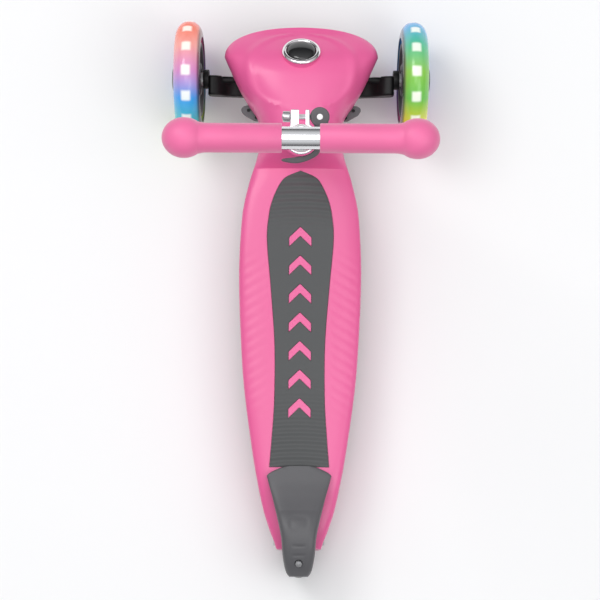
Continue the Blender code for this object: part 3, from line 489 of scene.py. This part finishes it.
def bar_frame():
    """The handlebar's frame at the middle of the cross tube, its Z to the rider's right."""
    low_left, high_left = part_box("grip_left")
    low_right, high_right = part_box("grip_right")
    middle = (low_left + high_right) / 2
    turn = STEM_LEAN.to_3x3().to_4x4() @ Matrix.Rotation(pi / 2, 4, "Y")
    return Matrix.Translation(middle) @ turn


# Deck.

DECK_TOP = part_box("grip_mat")[1].z - 0.0006
DECK_LOW, DECK_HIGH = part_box("deck_shell")
MAT_LOW, MAT_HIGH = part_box("grip_mat")
SHOULDER = 0.0110
WALL = 0.0030
POD_RIM = 0.0740
TIP_Y = DECK_HIGH.y
WIDEST_Y = TIP_Y - 0.0327
WIDEST = DECK_HIGH.x
DECK_SIDE = [
    (-0.2570, 0.0228), (-0.2395, 0.0296), (-0.2145, 0.0375), (-0.1520, 0.0493), (-0.0650, 0.0595),
    (0.0290, 0.0631), (0.0850, 0.0605), (0.1230, 0.0528), (0.1478, 0.0449), (0.1660, 0.0412),
    (0.1832, 0.0440), (0.2000, 0.0545), (0.2134, 0.0626), (0.2314, 0.0713), (WIDEST_Y, WIDEST),
]
DECK_CREST = [
    (-0.2570, 0.0480), (-0.2400, 0.0560), (-0.2150, 0.0610), (-0.1850, DECK_TOP), (0.1350, DECK_TOP),
    (0.1430, 0.0840), (0.1520, 0.1040), (0.1700, 0.1150), (0.2050, 0.1165), (0.2260, 0.1155),
    (0.2400, 0.1115), (0.2510, 0.1040), (0.2620, 0.0940), (0.2740, 0.0825), (TIP_Y, 0.0775),
]
DECK_EDGE = [
    (-0.2570, 0.0420), (-0.2300, 0.0470), (-0.1850, DECK_TOP - SHOULDER), (0.1230, DECK_TOP - SHOULDER),
    (0.1660, 0.0690), (0.2134, 0.0770), (WIDEST_Y, 0.0800), (TIP_Y, 0.0765),
]
DECK_RIM = [
    (-0.2570, 0.0320), (-0.2450, 0.0260), (-0.1700, DECK_LOW.z), (0.1500, DECK_LOW.z),
    (0.1640, 0.0420), (0.1800, POD_RIM), (TIP_Y, POD_RIM - 0.0020),
]
MAT_SIDE = [
    (0.0, 0.1332), (0.0144, 0.1270), (0.0216, 0.1186), (0.0288, 0.1020), (0.0324, 0.0853), (0.0340, 0.0600),
    (0.0298, 0.0103), (0.0257, -0.0480), (0.0257, -0.1060), (0.0283, -0.1480), (0.0305, -0.1750),
]


def eased(stations, at):
    """The value at a place between stations, on a smooth curve that never overshoots them."""
    if at <= stations[0][0]:
        return stations[0][1]
    if at >= stations[-1][0]:
        return stations[-1][1]
    i = max(k for k in range(len(stations) - 1) if stations[k][0] <= at)
    steeps = [(b[1] - a[1]) / (b[0] - a[0]) for a, b in zip(stations, stations[1:])]
    slopes = []
    for k in (i, i + 1):
        if k in (0, len(stations) - 1):
            slopes.append(steeps[i])
            continue
        before, after = steeps[k - 1], steeps[k]
        slopes.append(0.0 if before * after <= 0 else 2 * before * after / (before + after))
    (y0, v0), (y1, v1) = stations[i], stations[i + 1]
    t = (at - y0) / (y1 - y0)
    bend = (1 - t) * slopes[0] - t * slopes[1]
    return v0 + (v1 - v0) * t * t * (3 - 2 * t) + (y1 - y0) * t * (1 - t) * bend


def smoothed(points, steps):
    """Points along a Catmull-Rom curve through the given ones, steps to each stretch."""
    ends = [points[0]] + list(points) + [points[-1]]
    found = []
    for a, b, c, d in zip(ends, ends[1:], ends[2:], ends[3:]):
        for k in range(steps):
            t = k / steps
            weights = (
                (-t + 2 * t**2 - t**3) / 2, (2 - 5 * t**2 + 3 * t**3) / 2,
                (t + 4 * t**2 - 3 * t**3) / 2, (t**3 - t**2) / 2,
            )
            found.append(tuple(sum(w * p[i] for w, p in zip(weights, (a, b, c, d))) for i in (0, 1)))
    return found + [points[-1]]


def mirrored(side):
    return list(side) + [(-x, y) for x, y in reversed(side) if x > 1e-6]


def deck_half(y):
    if y <= WIDEST_Y:
        return eased(DECK_SIDE, y)
    ahead = min((y - WIDEST_Y) / (TIP_Y - WIDEST_Y), 1.0)
    return max(WIDEST * (1 - ahead**2.25) ** (1 / 2.25), 0.004)


def contour(x, y):
    """Height of the soft horseshoe ridge round the pod's button."""
    if y < 0.19:
        return 0.0
    along = (y - 0.232) / 0.042
    reach = 0.0540 * max(0.0, 1 - abs(along) ** 2.6) ** 0.5
    if reach <= 0.0:
        return 0.0
    off = (abs(x) - reach) / 0.0075
    return 0.0016 * max(0.0, 1 - off * off) ** 2 * min(1.0, reach / 0.02)


def deck_section(y, inset, drop, across):
    ahead = y + 1.2 * inset
    half = min(deck_half(y), deck_half(ahead)) - inset
    crest = min(eased(DECK_CREST, y), eased(DECK_CREST, ahead)) - drop
    if inset and y < MAT_HIGH.y + 0.008:
        crest = min(crest, DECK_TOP - drop)
    edge = min(eased(DECK_EDGE, y), crest)
    rim = eased(DECK_RIM, y) - (0.02 if inset else 0.0)
    blend = min(1.0, max(0.0, (y - 0.105) / 0.035))
    power = 2 / (4.0 - 1.5 * blend * blend * (3 - 2 * blend))
    points = []
    for k in range(across + 1):
        turn = radians(180 * k / across)
        sign = 1 if k < across / 2 else -1
        x = half * abs(cos(turn)) ** power * sign if k != across // 2 else 0.0
        points.append((x, edge + (crest - edge) * sin(turn) ** power + (0.0 if inset else contour(x, y))))
    lower = half - (0.0 if inset else 0.002)
    if inset:
        return points + [(-lower, rim), (lower, rim)]
    return points + [(-lower - 0.0006, rim + 0.004), (-lower + 0.0006, rim), (lower - 0.0006, rim),
                     (lower + 0.0006, rim + 0.004)]


def lofted(name, places, inset, drop, across):
    """A closed body through the deck's cross-sections; no primitive has this shape."""
    bm = bmesh.new()
    rings = [[bm.verts.new((x, y, z)) for x, z in deck_section(y, inset, drop, across)] for y in places]
    for near, far in zip(rings, rings[1:]):
        for i in range(len(near)):
            j = (i + 1) % len(near)
            bm.faces.new((near[i], near[j], far[j], far[i]))
    bm.faces.new(reversed(rings[0]))
    bm.faces.new(rings[-1])
    mesh = bpy.data.meshes.new(name)
    bm.to_mesh(mesh)
    bm.free()
    obj = bpy.data.objects.new(name, mesh)
    bpy.context.scene.collection.objects.link(obj)
    return settle(obj)


def spread(start, end, count):
    return [start + (end - start) * k / count for k in range(count + 1)]


def chevron_tools(low, high, grow):
    """The seven V marks along the middle of the deck."""
    tools = []
    arm = 0.0090 + 2 * grow
    for k in range(7):
        tip = 0.0745 - 0.0297 * k + grow
        side = tip - 0.0110 - grow
        wide = 0.0113 + grow
        outline = [
            (0.0, tip), (wide, side), (wide, side - arm), (0.0, tip - arm),
            (-wide, side - arm), (-wide, side),
        ]
        tools.append(slab("mark_tool_" + str(k), filleted(outline, 0.0012, 3), low, high))
    return tools


def mat_outline(grow):
    side = smoothed(MAT_SIDE, 6)
    return mirrored([(x * (1 + grow / 0.03), y + (grow if k == 0 else 0.0)) for k, (x, y) in enumerate(side)])


def make_deck():
    """The deck and pod: the mat's recess and V bosses, the tail slot, the stem socket, the button's seat."""
    nose = [WIDEST_Y + (TIP_Y - WIDEST_Y) * sin(radians(90 * k / 26)) for k in range(1, 27)]
    places = spread(-0.2570, -0.19, 14) + spread(-0.184, 0.104, 24) + spread(0.108, WIDEST_Y, 46) + nose
    deck = lofted("deck_look", places, 0.0, 0.0, 56)
    inside = spread(-0.16, 0.12, 16) + spread(0.13, WIDEST_Y, 16) + nose[3:16:3]
    inner = lofted("deck_hollow", inside, WALL, 0.005, 20)
    for k, y in enumerate((-0.11, -0.05, 0.01, 0.07, 0.13)):
        carve(inner, "DIFFERENCE", block("rib", (-0.08, y - WALL / 2, 0.0), (0.08, y + WALL / 2, DECK_TOP)))
    for x in (-0.022, 0.022):
        carve(inner, "DIFFERENCE", block("keel", (x - WALL / 2, -0.17, 0.0), (x + WALL / 2, 0.131, DECK_TOP)))
    carve(deck, "DIFFERENCE", inner)
    floor = MAT_LOW.z
    recess = slab("recess", mat_outline(0.0006), floor - 0.0003, 0.09)
    carve(recess, "DIFFERENCE", *chevron_tools(0.0, floor + 0.0021, 0.0))
    slot = block("slot", (-0.0145, -0.30, 0.0), (0.0145, -0.1765, 0.12))
    carve(deck, "DIFFERENCE", recess, slot)
    stem = stem_frame()
    foot = -(stem.inverted() @ Vector((0, 0.167, 0.07))).z
    collar = filleted([(0.0, -foot - 0.029), (0.0190, -foot - 0.029), (0.0190, -foot + 0.0520),
                       (0.0, -foot + 0.0520)], 0.0022, 5, closed=False)
    carve(deck, "UNION", turned("socket", collar, stem, 48))
    bore = rod(0.0139, -foot - 0.024, -foot + 0.08)
    carve(deck, "DIFFERENCE", turned("socket_bore", bore, stem, 48))
    boss = rod(0.0095, 0.0098, 0.0550)
    carve(deck, "UNION", turned("boss", boss, STEER, 32))
    for x in (-0.030, 0.030):
        seat = rod(0.0080, POD_RIM + 0.004, 0.1100)
        carve(deck, "UNION", turned("spring_seat", seat, Matrix.Translation((x, 0.2225, 0.0)), 28))
    lock = STEER @ Matrix.Translation((0, -0.0140, 0))
    way = [
        (0.0, 0.0430), (0.0180, 0.0430), (0.0180, 0.0573), (0.0203, 0.0573), (0.0212, 0.0800), (0.0, 0.0800),
    ]
    carve(deck, "DIFFERENCE", turned("button_way", way, lock, 56))
    barrel = [(0.0153, 0.0503), (0.0201, 0.0503), (0.0201, 0.0572), (0.0153, 0.0572)]
    carve(deck, "UNION", turned("button_barrel", barrel, lock, 44))
    for low, high, radius in ((-0.04, 0.04, 0.0043), (0.0220, 0.04, 0.0082), (-0.04, -0.0220, 0.0081)):
        carve(deck, "DIFFERENCE", turned("axle_hole", rod(radius, low, high), REAR_AXLE, 32))
    settle(deck, None, 32.0)
    return dress(deck, "deck_pink", "deck", "deck_shell")


def make_mat():
    """Grip mat with openings for the V bosses and softly rounded edges."""
    mat = slab("mat_look", mat_outline(0.0), MAT_LOW.z, MAT_HIGH.z)
    carve(mat, "DIFFERENCE", *chevron_tools(0.0, 0.09, 0.0005))
    settle(mat)
    round_edges(mat, 0.0006, 2, 60.0)
    return dress(mat, "mat_grey", "deck", "grip_mat")


# Wheels.

FRONT_RADIUS = 0.0605
FRONT_HALF = 0.0135
FRONT_BORE = 0.0440
REAR_RADIUS = 0.0400
REAR_HALF = 0.0120
REAR_BORE = 0.0270
GAP = 0.0003


def tread(radius, half, curve, bore, steps):
    """Profile of a solid tyre with a rounded tread and a soft edge to its side walls."""
    sides = [radians(-90 + 180 * k / steps) for k in range(steps + 1)]
    crown = [(radius - curve + curve * cos(a), half * sin(a)) for a in sides]
    return [(bore, -half)] + crown + [(bore, half)]


def pockets(place, radius, count, size, low, high):
    """Round pockets spread evenly round a wheel's axis."""
    tools = []
    for k in range(count):
        turn = 2 * pi * (k + 0.5) / count
        spot = place @ Matrix.Translation((radius * cos(turn), radius * sin(turn), 0.0))
        tools.append(turned("pocket_" + str(k), rod(size, low, high), spot, 28))
    return tools


def make_front_wheel(side):
    axle = AXLES[side]
    name = "front_wheel_" + side + "_"
    body = "wheel_" + side
    rim = FRONT_BORE - GAP
    profile = tread(FRONT_RADIUS, FRONT_HALF, 0.0150, FRONT_BORE, 30)
    tyre = turned(name + "tyre_look", profile, axle, 112, 50.0)
    dress(tyre, tyre_look(side, axle), body, name + "tyre")
    low, high = -FRONT_HALF + 0.0040, FRONT_HALF - 0.0040
    ring = filleted([(rim - 0.005, low), (rim, low), (rim, high), (rim - 0.005, high)], 0.0012, 3)
    dress(turned(name + "light_ring_look", ring, axle, 96), "light_ring", body, name + "light_ring")
    edge, bore, half = rim - 0.0053, 0.0113, FRONT_HALF
    profile = [
        (bore, -half + 0.0010), (0.0160, -half + 0.0010), (0.0180, -half + 0.0050), (0.0330, -half + 0.0040),
        (0.0345, -half + 0.0010), (edge, -half + 0.0010), (edge, half - 0.0010), (0.0345, half - 0.0010),
        (0.0330, half - 0.0040), (0.0180, half - 0.0050), (0.0160, half - 0.0010), (bore, half - 0.0010),
    ]
    hub = turned(name + "hub_look", filleted(profile, 0.0010, 4), axle, 96)
    carve(hub, "DIFFERENCE", *pockets(axle, 0.0252, 7, 0.0052, half - 0.0075, half + 0.01))
    carve(hub, "DIFFERENCE", *pockets(axle, 0.0252, 7, 0.0052, -half - 0.01, -half + 0.0075))
    dress(settle(hub), "hub_dark", body, name + "hub")
    cap = [(0.0, half + 0.0042), (0.0060, half + 0.0041), (0.0100, half + 0.0038), (0.0135, half + 0.0030),
           (0.0152, half + 0.0018), (0.0158, half - 0.0007), (0.0100, half - 0.0007), (0.0098, half + 0.0026),
           (0.0, half + 0.0026)]
    piece = turned(name + "cap_look", filleted(cap, 0.0006, 3, closed=False), axle, 64)
    dress(piece, "hub_dark", body, name + "cap")


def make_rear_wheel():
    tyre = turned("rear_tyre_look", tread(REAR_RADIUS, REAR_HALF, 0.0120, REAR_BORE, 26), REAR_AXLE, 96, 50.0)
    dress(tyre, "rear_tyre", "rear_wheel", "rear_tyre")
    rim, bore, half = REAR_BORE - GAP, 0.0113, REAR_HALF
    profile = [
        (bore, -half + 0.0005), (0.0150, -half + 0.0005), (0.0170, -half + 0.0040), (0.0230, -half + 0.0040),
        (0.0240, -half + 0.0020), (rim, -half + 0.0020), (rim, half - 0.0020), (0.0240, half - 0.0020),
        (0.0230, half - 0.0040), (0.0170, half - 0.0040), (0.0150, half - 0.0005), (bore, half - 0.0005),
    ]
    hub = turned("rear_hub_look", filleted(profile, 0.0008, 4), REAR_AXLE, 80)
    carve(hub, "DIFFERENCE", *pockets(REAR_AXLE, 0.0200, 6, 0.0026, half - 0.0065, half + 0.01))
    carve(hub, "DIFFERENCE", *pockets(REAR_AXLE, 0.0200, 6, 0.0026, -half - 0.01, -half + 0.0065))
    dress(settle(hub), "hub_dark", "rear_wheel", "rear_hub")


# Truck.

def make_beam():
    """Black beam with softly rounded edges, its pivot hub and an end lug for each wheel bolt."""
    end = AXLES["right"].translation.x - 0.0195
    right = [(0.0450, -0.0085), (end, 0.0020), (end, 0.0190), (end - 0.0100, 0.0175), (end - 0.0220, 0.0085)]
    outline = filleted([(-x, y) for x, y in reversed(right)] + right, 0.0060, 5)
    pivot = STEER.translation
    middle = pivot.y - 0.0015
    upright = Matrix.Translation((0, 0, pivot.z)) @ Matrix.Rotation(pi / 2, 4, "X")
    beam = slab("beam_look", outline, -middle - 0.0103, -middle + 0.0103, upright)
    round_edges(beam, 0.0022, 4, 50.0)
    hub = rod(0.0185, -0.009, 0.009)
    carve(beam, "UNION", turned("beam_hub", filleted(hub, 0.0010, 3, closed=False), STEER, 56))
    for k, axle in enumerate(AXLES.values()):
        lug = rod(0.0100, -0.0205, -0.0145)
        carve(beam, "UNION", turned("beam_lug", filleted(lug, 0.0008, 3, closed=False), axle, 44))
    cuts = [(STEER, 0.0070, -0.03, 0.03), (STEER @ Matrix.Translation((0, -0.014, 0)), 0.0032, 0.0, 0.03),
            (STEER, 0.0137, -0.04, -0.0092), (STEER, 0.0200, 0.0092, 0.04)]
    cuts += [(axle, 0.0043, -0.06, 0.0) for axle in AXLES.values()]
    for place, radius, low, high in cuts:
        carve(beam, "DIFFERENCE", turned("beam_hole", rod(radius, low, high), place, 40))
    return dress(settle(beam), "beam_black", "truck", "axle_beam")


def make_housing():
    """Dark cover plate under the pod, behind the beam."""
    side = [(0.0210, 0.1905), (0.0210, 0.1845), (0.0480, 0.1845), (0.0590, 0.1910), (0.0618, 0.1950),
            (0.0616, 0.1975), (0.0590, 0.2000), (0.0300, 0.2045), (0.0240, 0.2040), (0.0220, 0.2010)]
    high = POD_RIM - 0.0021 - GAP
    outline = filleted(side + [(-x, y) for x, y in reversed(side)], 0.0016, 3)
    plate = slab("housing_look", outline, high - 0.0040, high)
    carve(plate, "UNION", block("wall", (-0.0380, 0.1910, 0.0480), (0.0380, 0.1970, high - 0.0010)))
    round_edges(plate, 0.0007, 3)
    for x, y in ((-0.0540, 0.1955), (0.0540, 0.1955), (-0.0460, 0.1880), (0.0460, 0.1880)):
        way = rod(0.0019, high - 0.02, high + 0.01)
        carve(plate, "DIFFERENCE", turned("screw_way", way, Matrix.Translation((x, y, 0.0)), 20))
    return dress(settle(plate), "dark_grey", "deck", "truck_housing")


def make_lock():
    """Domed steering-lock button and its plated trim ring."""
    axis = STEER @ Matrix.Translation((0, -0.0140, 0))
    face = 0.0573
    ring = [(0.0151, face + GAP), (0.0200, face + GAP), (0.0200, face + 0.0015), (0.0188, face + 0.0030),
            (0.0163, face + 0.0032), (0.0151, face + 0.0022)]
    dress(turned("ring_look", filleted(ring, 0.0009, 5), axis, 96), "chrome", "deck", "lock_button_ring")
    low, side = face - 0.0060, face + 0.0020
    dome = [(0.0, low), (0.0147, low)]
    dome += [(0.0147 * cos(radians(a)), side + 0.0045 * sin(radians(a))) for a in range(0, 90, 5)]
    button = turned("button_look", dome + [(0.0, face + 0.0065)], axis, 80, 50.0)
    dress(button, "button_black", "lock_button", "lock_button")


# Rear brake.

BRAKE_SIDE = [
    (0.0, -0.1733), (0.0170, -0.1755), (0.0318, -0.1827), (0.0320, -0.1890), (0.0270, -0.2080),
    (0.0219, -0.2300), (0.0182, -0.2480), (0.0165, -0.2670), (0.0133, -0.2820), (0.0080, -0.2885),
    (0.0, -0.2905),
]
BRAKE_SKIRT = [
    (-0.2890, 0.0600), (-0.2700, 0.0720), (-0.2460, 0.0790), (-0.2220, 0.0750), (-0.2050, 0.0728),
    (-0.1900, 0.0717), (-0.1725, 0.0708),
]
BRAKE_FRONT = [(-0.2223, 0.0845), (-0.2050, 0.0785), (-0.1900, 0.0752), (-0.1725, 0.0740)]
BRAKE_CURVE = 0.0505


def brake_half(y):
    """Half-width of the brake's plan at y."""
    plan = smoothed(BRAKE_SIDE, 8)
    for (x0, y0), (x1, y1) in zip(plan, plan[1:]):
        if y1 <= y <= y0 and y0 > y1:
            return x0 + (x1 - x0) * (y0 - y) / (y0 - y1)
    return 0.0


def brake_top(y):
    """Height of the brake's middle line: over the wheel an arc about the axle, then down to the deck."""
    if y > -0.2223:
        return eased(BRAKE_FRONT, y)
    across = y - REAR_AXLE.translation.y
    return REAR_AXLE.translation.z + max(BRAKE_CURVE**2 - across**2, 0.0) ** 0.5


def brake_relief(x, y):
    """Depth of the drop-shaped outline and the two short slots pressed in the brake's top."""
    wide = 0.0085 * (1.0 + 25.0 * (y + 0.237))
    far = abs(((x / wide) ** 2 + ((y + 0.237) / 0.0095) ** 2) ** 0.5 - 1.0)
    depth = 0.0006 * max(0.0, 1 - far / 0.22)
    for slot in (-0.2590, -0.2680):
        off = abs(y - slot - 6.0 * x * x)
        depth += 0.0009 * max(0.0, 1 - (off / 0.0016) ** 2) * (1.0 if abs(x) < 0.0062 else 0.0)
    return depth


def brake_shell(name, wall, places, power):
    """A closed body through the brake's crowned cross-sections; no primitive has this shape."""
    bm = bmesh.new()
    rings = []
    for y in places:
        half, top = brake_half(y) - wall, brake_top(y) - wall
        low = min(eased(BRAKE_SKIRT, y), top - 0.0010) - (0.02 if wall else 0.0)
        ring = []
        for k in range(49):
            turn = radians(180 * k / 48)
            x = half * abs(cos(turn)) ** power * (1 if k < 24 else -1) if k != 24 else 0.0
            z = low + (top - low) * sin(turn) ** power - (0.0 if wall else brake_relief(x, y))
            ring.append(bm.verts.new((x, y, z)))
        rings.append(ring)
    for near, far in zip(rings, rings[1:]):
        for i in range(len(near)):
            j = (i + 1) % len(near)
            bm.faces.new((near[i], near[j], far[j], far[i]))
    bm.faces.new(reversed(rings[0]))
    bm.faces.new(rings[-1])
    mesh = bpy.data.meshes.new(name)
    bm.to_mesh(mesh)
    bm.free()
    obj = bpy.data.objects.new(name, mesh)
    bpy.context.scene.collection.objects.link(obj)
    return settle(obj)


def make_brake():
    """Fender brake: a crowned shell with lugs for its hinge pin and a hole for its screw."""
    brake = brake_shell("brake_look", 0.0, spread(-0.1745, -0.2875, 96), 2 / 4.5)
    inner = brake_shell("brake_hollow", 0.0030, spread(-0.1795, -0.2815, 40), 2 / 7)
    carve(brake, "DIFFERENCE", inner)
    hinge = axis_frame("brake_press")
    spot = hinge.translation
    for x in (-0.0100, 0.0100):
        low = (x - 0.003, spot.y - 0.0050, spot.z - 0.0050)
        lug = block("lug", low, (x + 0.003, spot.y + 0.0050, 0.0738))
        carve(brake, "UNION", lug)
    way = rod(0.0028, -0.03, 0.03)
    carve(brake, "DIFFERENCE", turned("pin_way", way, hinge, 24))
    tilt = Matrix.Translation(REAR_AXLE.translation) @ Matrix.Rotation(radians(36), 4, "X")
    hole = [(0.0, 0.03), (0.0023, 0.03), (0.0023, 0.0485), (0.0052, 0.0512), (0.0052, 0.07), (0.0, 0.07)]
    carve(brake, "DIFFERENCE", turned("screw_way", hole, tilt, 32))
    return dress(settle(brake), "dark_grey", "brake", "rear_brake")


# Stem, clamp and handlebar, in the stem's frame.

TUBE_RADIUS = 0.0136
UPPER_RADIUS = 0.0110
TUBE_TOP = 0.0120
TUBE_LENGTH = 0.5450
BAR_RISE = 0.0688
BAR_HALF = 0.1180


def make_tube():
    """Lower tube with its bolt hole."""
    stem = stem_frame()
    low = TUBE_TOP - TUBE_LENGTH - 0.0220
    wall = [(0.0124, low), (TUBE_RADIUS, low), (TUBE_RADIUS, TUBE_TOP), (0.0124, TUBE_TOP)]
    tube = turned("lower_tube_look", filleted(wall, 0.0004, 2), stem, 72)
    bolt_at = Matrix.Translation((0, 0, TUBE_TOP - TUBE_LENGTH + 0.0150))
    across = stem @ bolt_at @ Matrix.Rotation(pi / 2, 4, "Y")
    way = rod(0.0028, -0.03, 0.03)
    carve(tube, "DIFFERENCE", turned("bolt_way", way, across, 24))
    return dress(settle(tube), "tube_silver", "deck", "lower_tube")


def make_clamp():
    """Split collar with its two ears, the nut, and the cam lever that wraps round behind."""
    stem = stem_frame()
    half = 0.0110
    profile = filleted(rod(0.0157, -half, half), 0.0011, 4, closed=False)
    collar = turned("collar_look", profile, stem, 80)
    outline = [(-0.0103, 0.0), (0.0084, 0.0), (0.0084, 0.0275), (-0.0103, 0.0275)]
    ears = slab("ears", filleted(outline, 0.0018, 4), -half, half, stem)
    round_edges(ears, 0.0009, 3)
    carve(collar, "UNION", ears)
    bore = rod(TUBE_RADIUS + GAP, -0.03, 0.03)
    carve(collar, "DIFFERENCE", turned("bore", bore, stem, 72))
    carve(collar, "DIFFERENCE", block("slit", (-0.0022, 0.0, -0.03), (0.0045, 0.04, 0.03), stem))
    skewer = stem @ Matrix.Translation((0, 0.0206, 0)) @ Matrix.Rotation(pi / 2, 4, "Y")
    way = rod(0.0028, -0.03, 0.02)
    carve(collar, "DIFFERENCE", turned("skewer_way", way, skewer, 28))
    dress(settle(collar), "clamp_silver", "deck", "clamp_collar")
    nut = [(0.0028, -0.0176), (0.0053, -0.0176), (0.0053, -0.0106), (0.0028, -0.0106)]
    dress(turned("nut_look", filleted(nut, 0.0007, 3), skewer, 48), SLOTS["clamp_nut"], "deck", "clamp_nut")
    arm = [(0.0125, 0.0125), (0.0166, 0.0030), (0.0168, -0.0030), (0.0148, -0.0088), (0.0102, -0.0138),
           (0.0040, -0.0168), (-0.0030, -0.0178), (-0.0080, -0.0188), (-0.0165, -0.0198), (-0.0185, -0.0210),
           (-0.0172, -0.0226), (-0.0100, -0.0240), (-0.0030, -0.0242), (0.0040, -0.0226), (0.0105, -0.0200),
           (0.0165, -0.0160), (0.0200, -0.0090), (0.0212, 0.0000), (0.0232, 0.0090), (0.0265, 0.0160),
           (0.0180, 0.0200)]
    about = smoothed([(x - 0.0182, y - 0.0206) for x, y in arm], 4)
    lever = slab("lever_look", about, -0.0070, 0.0070, LEVER)
    round_edges(lever, 0.0010, 3)
    head = filleted(rod(0.0095, -0.0080, 0.0080), 0.0012, 4, closed=False)
    carve(lever, "UNION", turned("cam_head", head, LEVER, 64))
    carve(lever, "DIFFERENCE", block("cam_slot", (-0.02, -0.0033, -0.0033), (0.02, 0.02, 0.0033), LEVER))
    bore = rod(0.0033, -0.02, 0.02)
    carve(lever, "DIFFERENCE", turned("cam_bore", bore, LEVER, 36))
    dress(settle(lever), "dark_grey", "clamp_lever", "clamp_lever")


def make_handlebar():
    """Welded T of the upper tube and the cross tube, and the two grips with ball ends."""
    stem, across = stem_frame(), bar_frame()
    low = BAR_RISE - 0.2500
    bar = turned("bar_look", rod(UPPER_RADIUS, low, BAR_RISE), stem, 64)
    cross = rod(UPPER_RADIUS, -BAR_HALF, BAR_HALF)
    carve(bar, "UNION", turned("cross_tube", cross, across, 64))
    weld = [
        (0.0, BAR_RISE - 0.0135), (0.0111, BAR_RISE - 0.0135), (0.0121, BAR_RISE - 0.0100),
        (0.0121, BAR_RISE), (0.0, BAR_RISE),
    ]
    carve(bar, "UNION", turned("weld", filleted(weld, 0.0012, 4, closed=False), stem, 64))
    bore = rod(0.0095, low - 0.01, BAR_RISE)
    carve(bar, "DIFFERENCE", turned("upper_bore", bore, stem, 40))
    bore = rod(0.0095, -BAR_HALF - 0.01, BAR_HALF + 0.01)
    carve(bar, "DIFFERENCE", turned("cross_bore", bore, across, 40))
    dress(settle(bar, None, 30.0), "tube_silver", "handlebar", "handlebar_tube")
    bore, ball = UPPER_RADIUS + GAP, 0.1332 - 0.1117
    grip = [(bore, 0.0183), (0.01325, 0.0183), (0.0138, 0.0185), (0.01425, 0.0193), (0.01425, 0.0900),
            (0.01445, 0.0935), (0.01490, 0.0965)]
    for k in range(49):
        turn = radians(128.0 * (1 - k / 48))
        grip.append((0.0196 * sin(turn), 0.1117 + ball * cos(turn)))
    grip = grip[:6] + grip[7:] + [(0.0, BAR_HALF + GAP), (bore, BAR_HALF + GAP)]
    for side, flip in (("left", pi), ("right", 0.0)):
        place = across @ Matrix.Rotation(flip, 4, "X")
        piece = turned("grip_look_" + side, grip, place, 80, 40.0)
        dress(piece, "grip_pink", "handlebar", "grip_" + side)


# Everything together.

make_deck()
make_mat()
for wheel_side in AXLES:
    make_front_wheel(wheel_side)
make_rear_wheel()
make_beam()
make_housing()
make_lock()
make_brake()
make_tube()
make_clamp()
make_handlebar()

# Material of every carried-over CAD node.
for node, obj in NODES.items():
    obj.data.materials.clear()
    side = node.split("_")[2] if node.endswith("_tyre") and node.startswith("front") else None
    if node.startswith("housing_screw"):
        obj.data.materials.append(FINISH["beam_black"])
    elif side:
        obj.data.materials.append(tyre_look(side, axis_frame("wheel_" + side + "_spin")))
    else:
        obj.data.materials.append(FINISH[SLOTS[node]])


# The two steering springs and the lock spring each get a mesh of their own.
for spring_side in ("left", "right"):
    spring = NODES["steering_spring_" + spring_side]
    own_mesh(spring)
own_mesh(NODES["lock_spring"])


# Stage.

def area(name, place, aim, size, power):
    data = bpy.data.lights.new(name, "AREA")
    data.shape = "DISK"
    data.size = size
    data.energy = power
    obj = bpy.data.objects.new(name, data)
    bpy.context.scene.collection.objects.link(obj)
    way = Vector(aim) - Vector(place)
    obj.matrix_world = Matrix.Translation(place) @ way.to_track_quat("-Z", "Y").to_matrix().to_4x4()
    return obj


start_clean()
bpy.ops.mesh.primitive_plane_add(size=14.0, location=(0.0, 0.0, min(0.0, CAD_BOX[0][2]) - 0.0005))
floor = bpy.context.object
floor.name = "studio_floor"
floor.data.materials.append(Look("studio floor", (0.93, 0.93, 0.93), 0.9).material)

area("key light", (-1.3, 1.2, 2.6), (0, 0, 0.1), 1.4, 22.0)
area("fill light", (1.5, -0.8, 2.4), (0, 0, 0.1), 1.6, 12.0)
area("top light", (0.0, 0.1, 3.4), (0, 0, 0.0), 2.2, 20.0)

# A pale sky that darkens towards the horizon, so that polished tubes get a dark edge.
world = bpy.data.worlds.new("studio")
world.use_nodes = True
nodes, links = world.node_tree.nodes, world.node_tree.links
way = nodes.new("ShaderNodeTexCoord")
split = nodes.new("ShaderNodeSeparateXYZ")
fade = nodes.new("ShaderNodeMapRange")
fade.inputs["From Min"].default_value = 0.05
fade.inputs["From Max"].default_value = 0.75
fade.inputs["To Min"].default_value = 0.10
fade.inputs["To Max"].default_value = 0.78
links.new(way.outputs["Generated"], split.inputs[0])
links.new(split.outputs["Z"], fade.inputs["Value"])
backdrop = nodes["Background"]
backdrop.inputs["Color"].default_value = (0.97, 0.98, 1.0, 1.0)
links.new(fade.outputs["Result"], backdrop.inputs["Strength"])
bpy.context.scene.world = world
bpy.context.scene.view_settings.view_transform = "Standard"

lens = bpy.data.cameras.new("camera")
lens.lens = 465.6
lens.sensor_width = 36.0
lens.clip_end = 50.0
camera = bpy.data.objects.new("camera", lens)
bpy.context.scene.collection.objects.link(camera)
camera.matrix_world = (
    Matrix.Translation((0.0, -1.114, 7.983)) @ Matrix.Rotation(radians(8.0), 4, "X")
    @ Matrix.Rotation(radians(0.3), 4, "Z")
)
bpy.context.scene.camera = camera
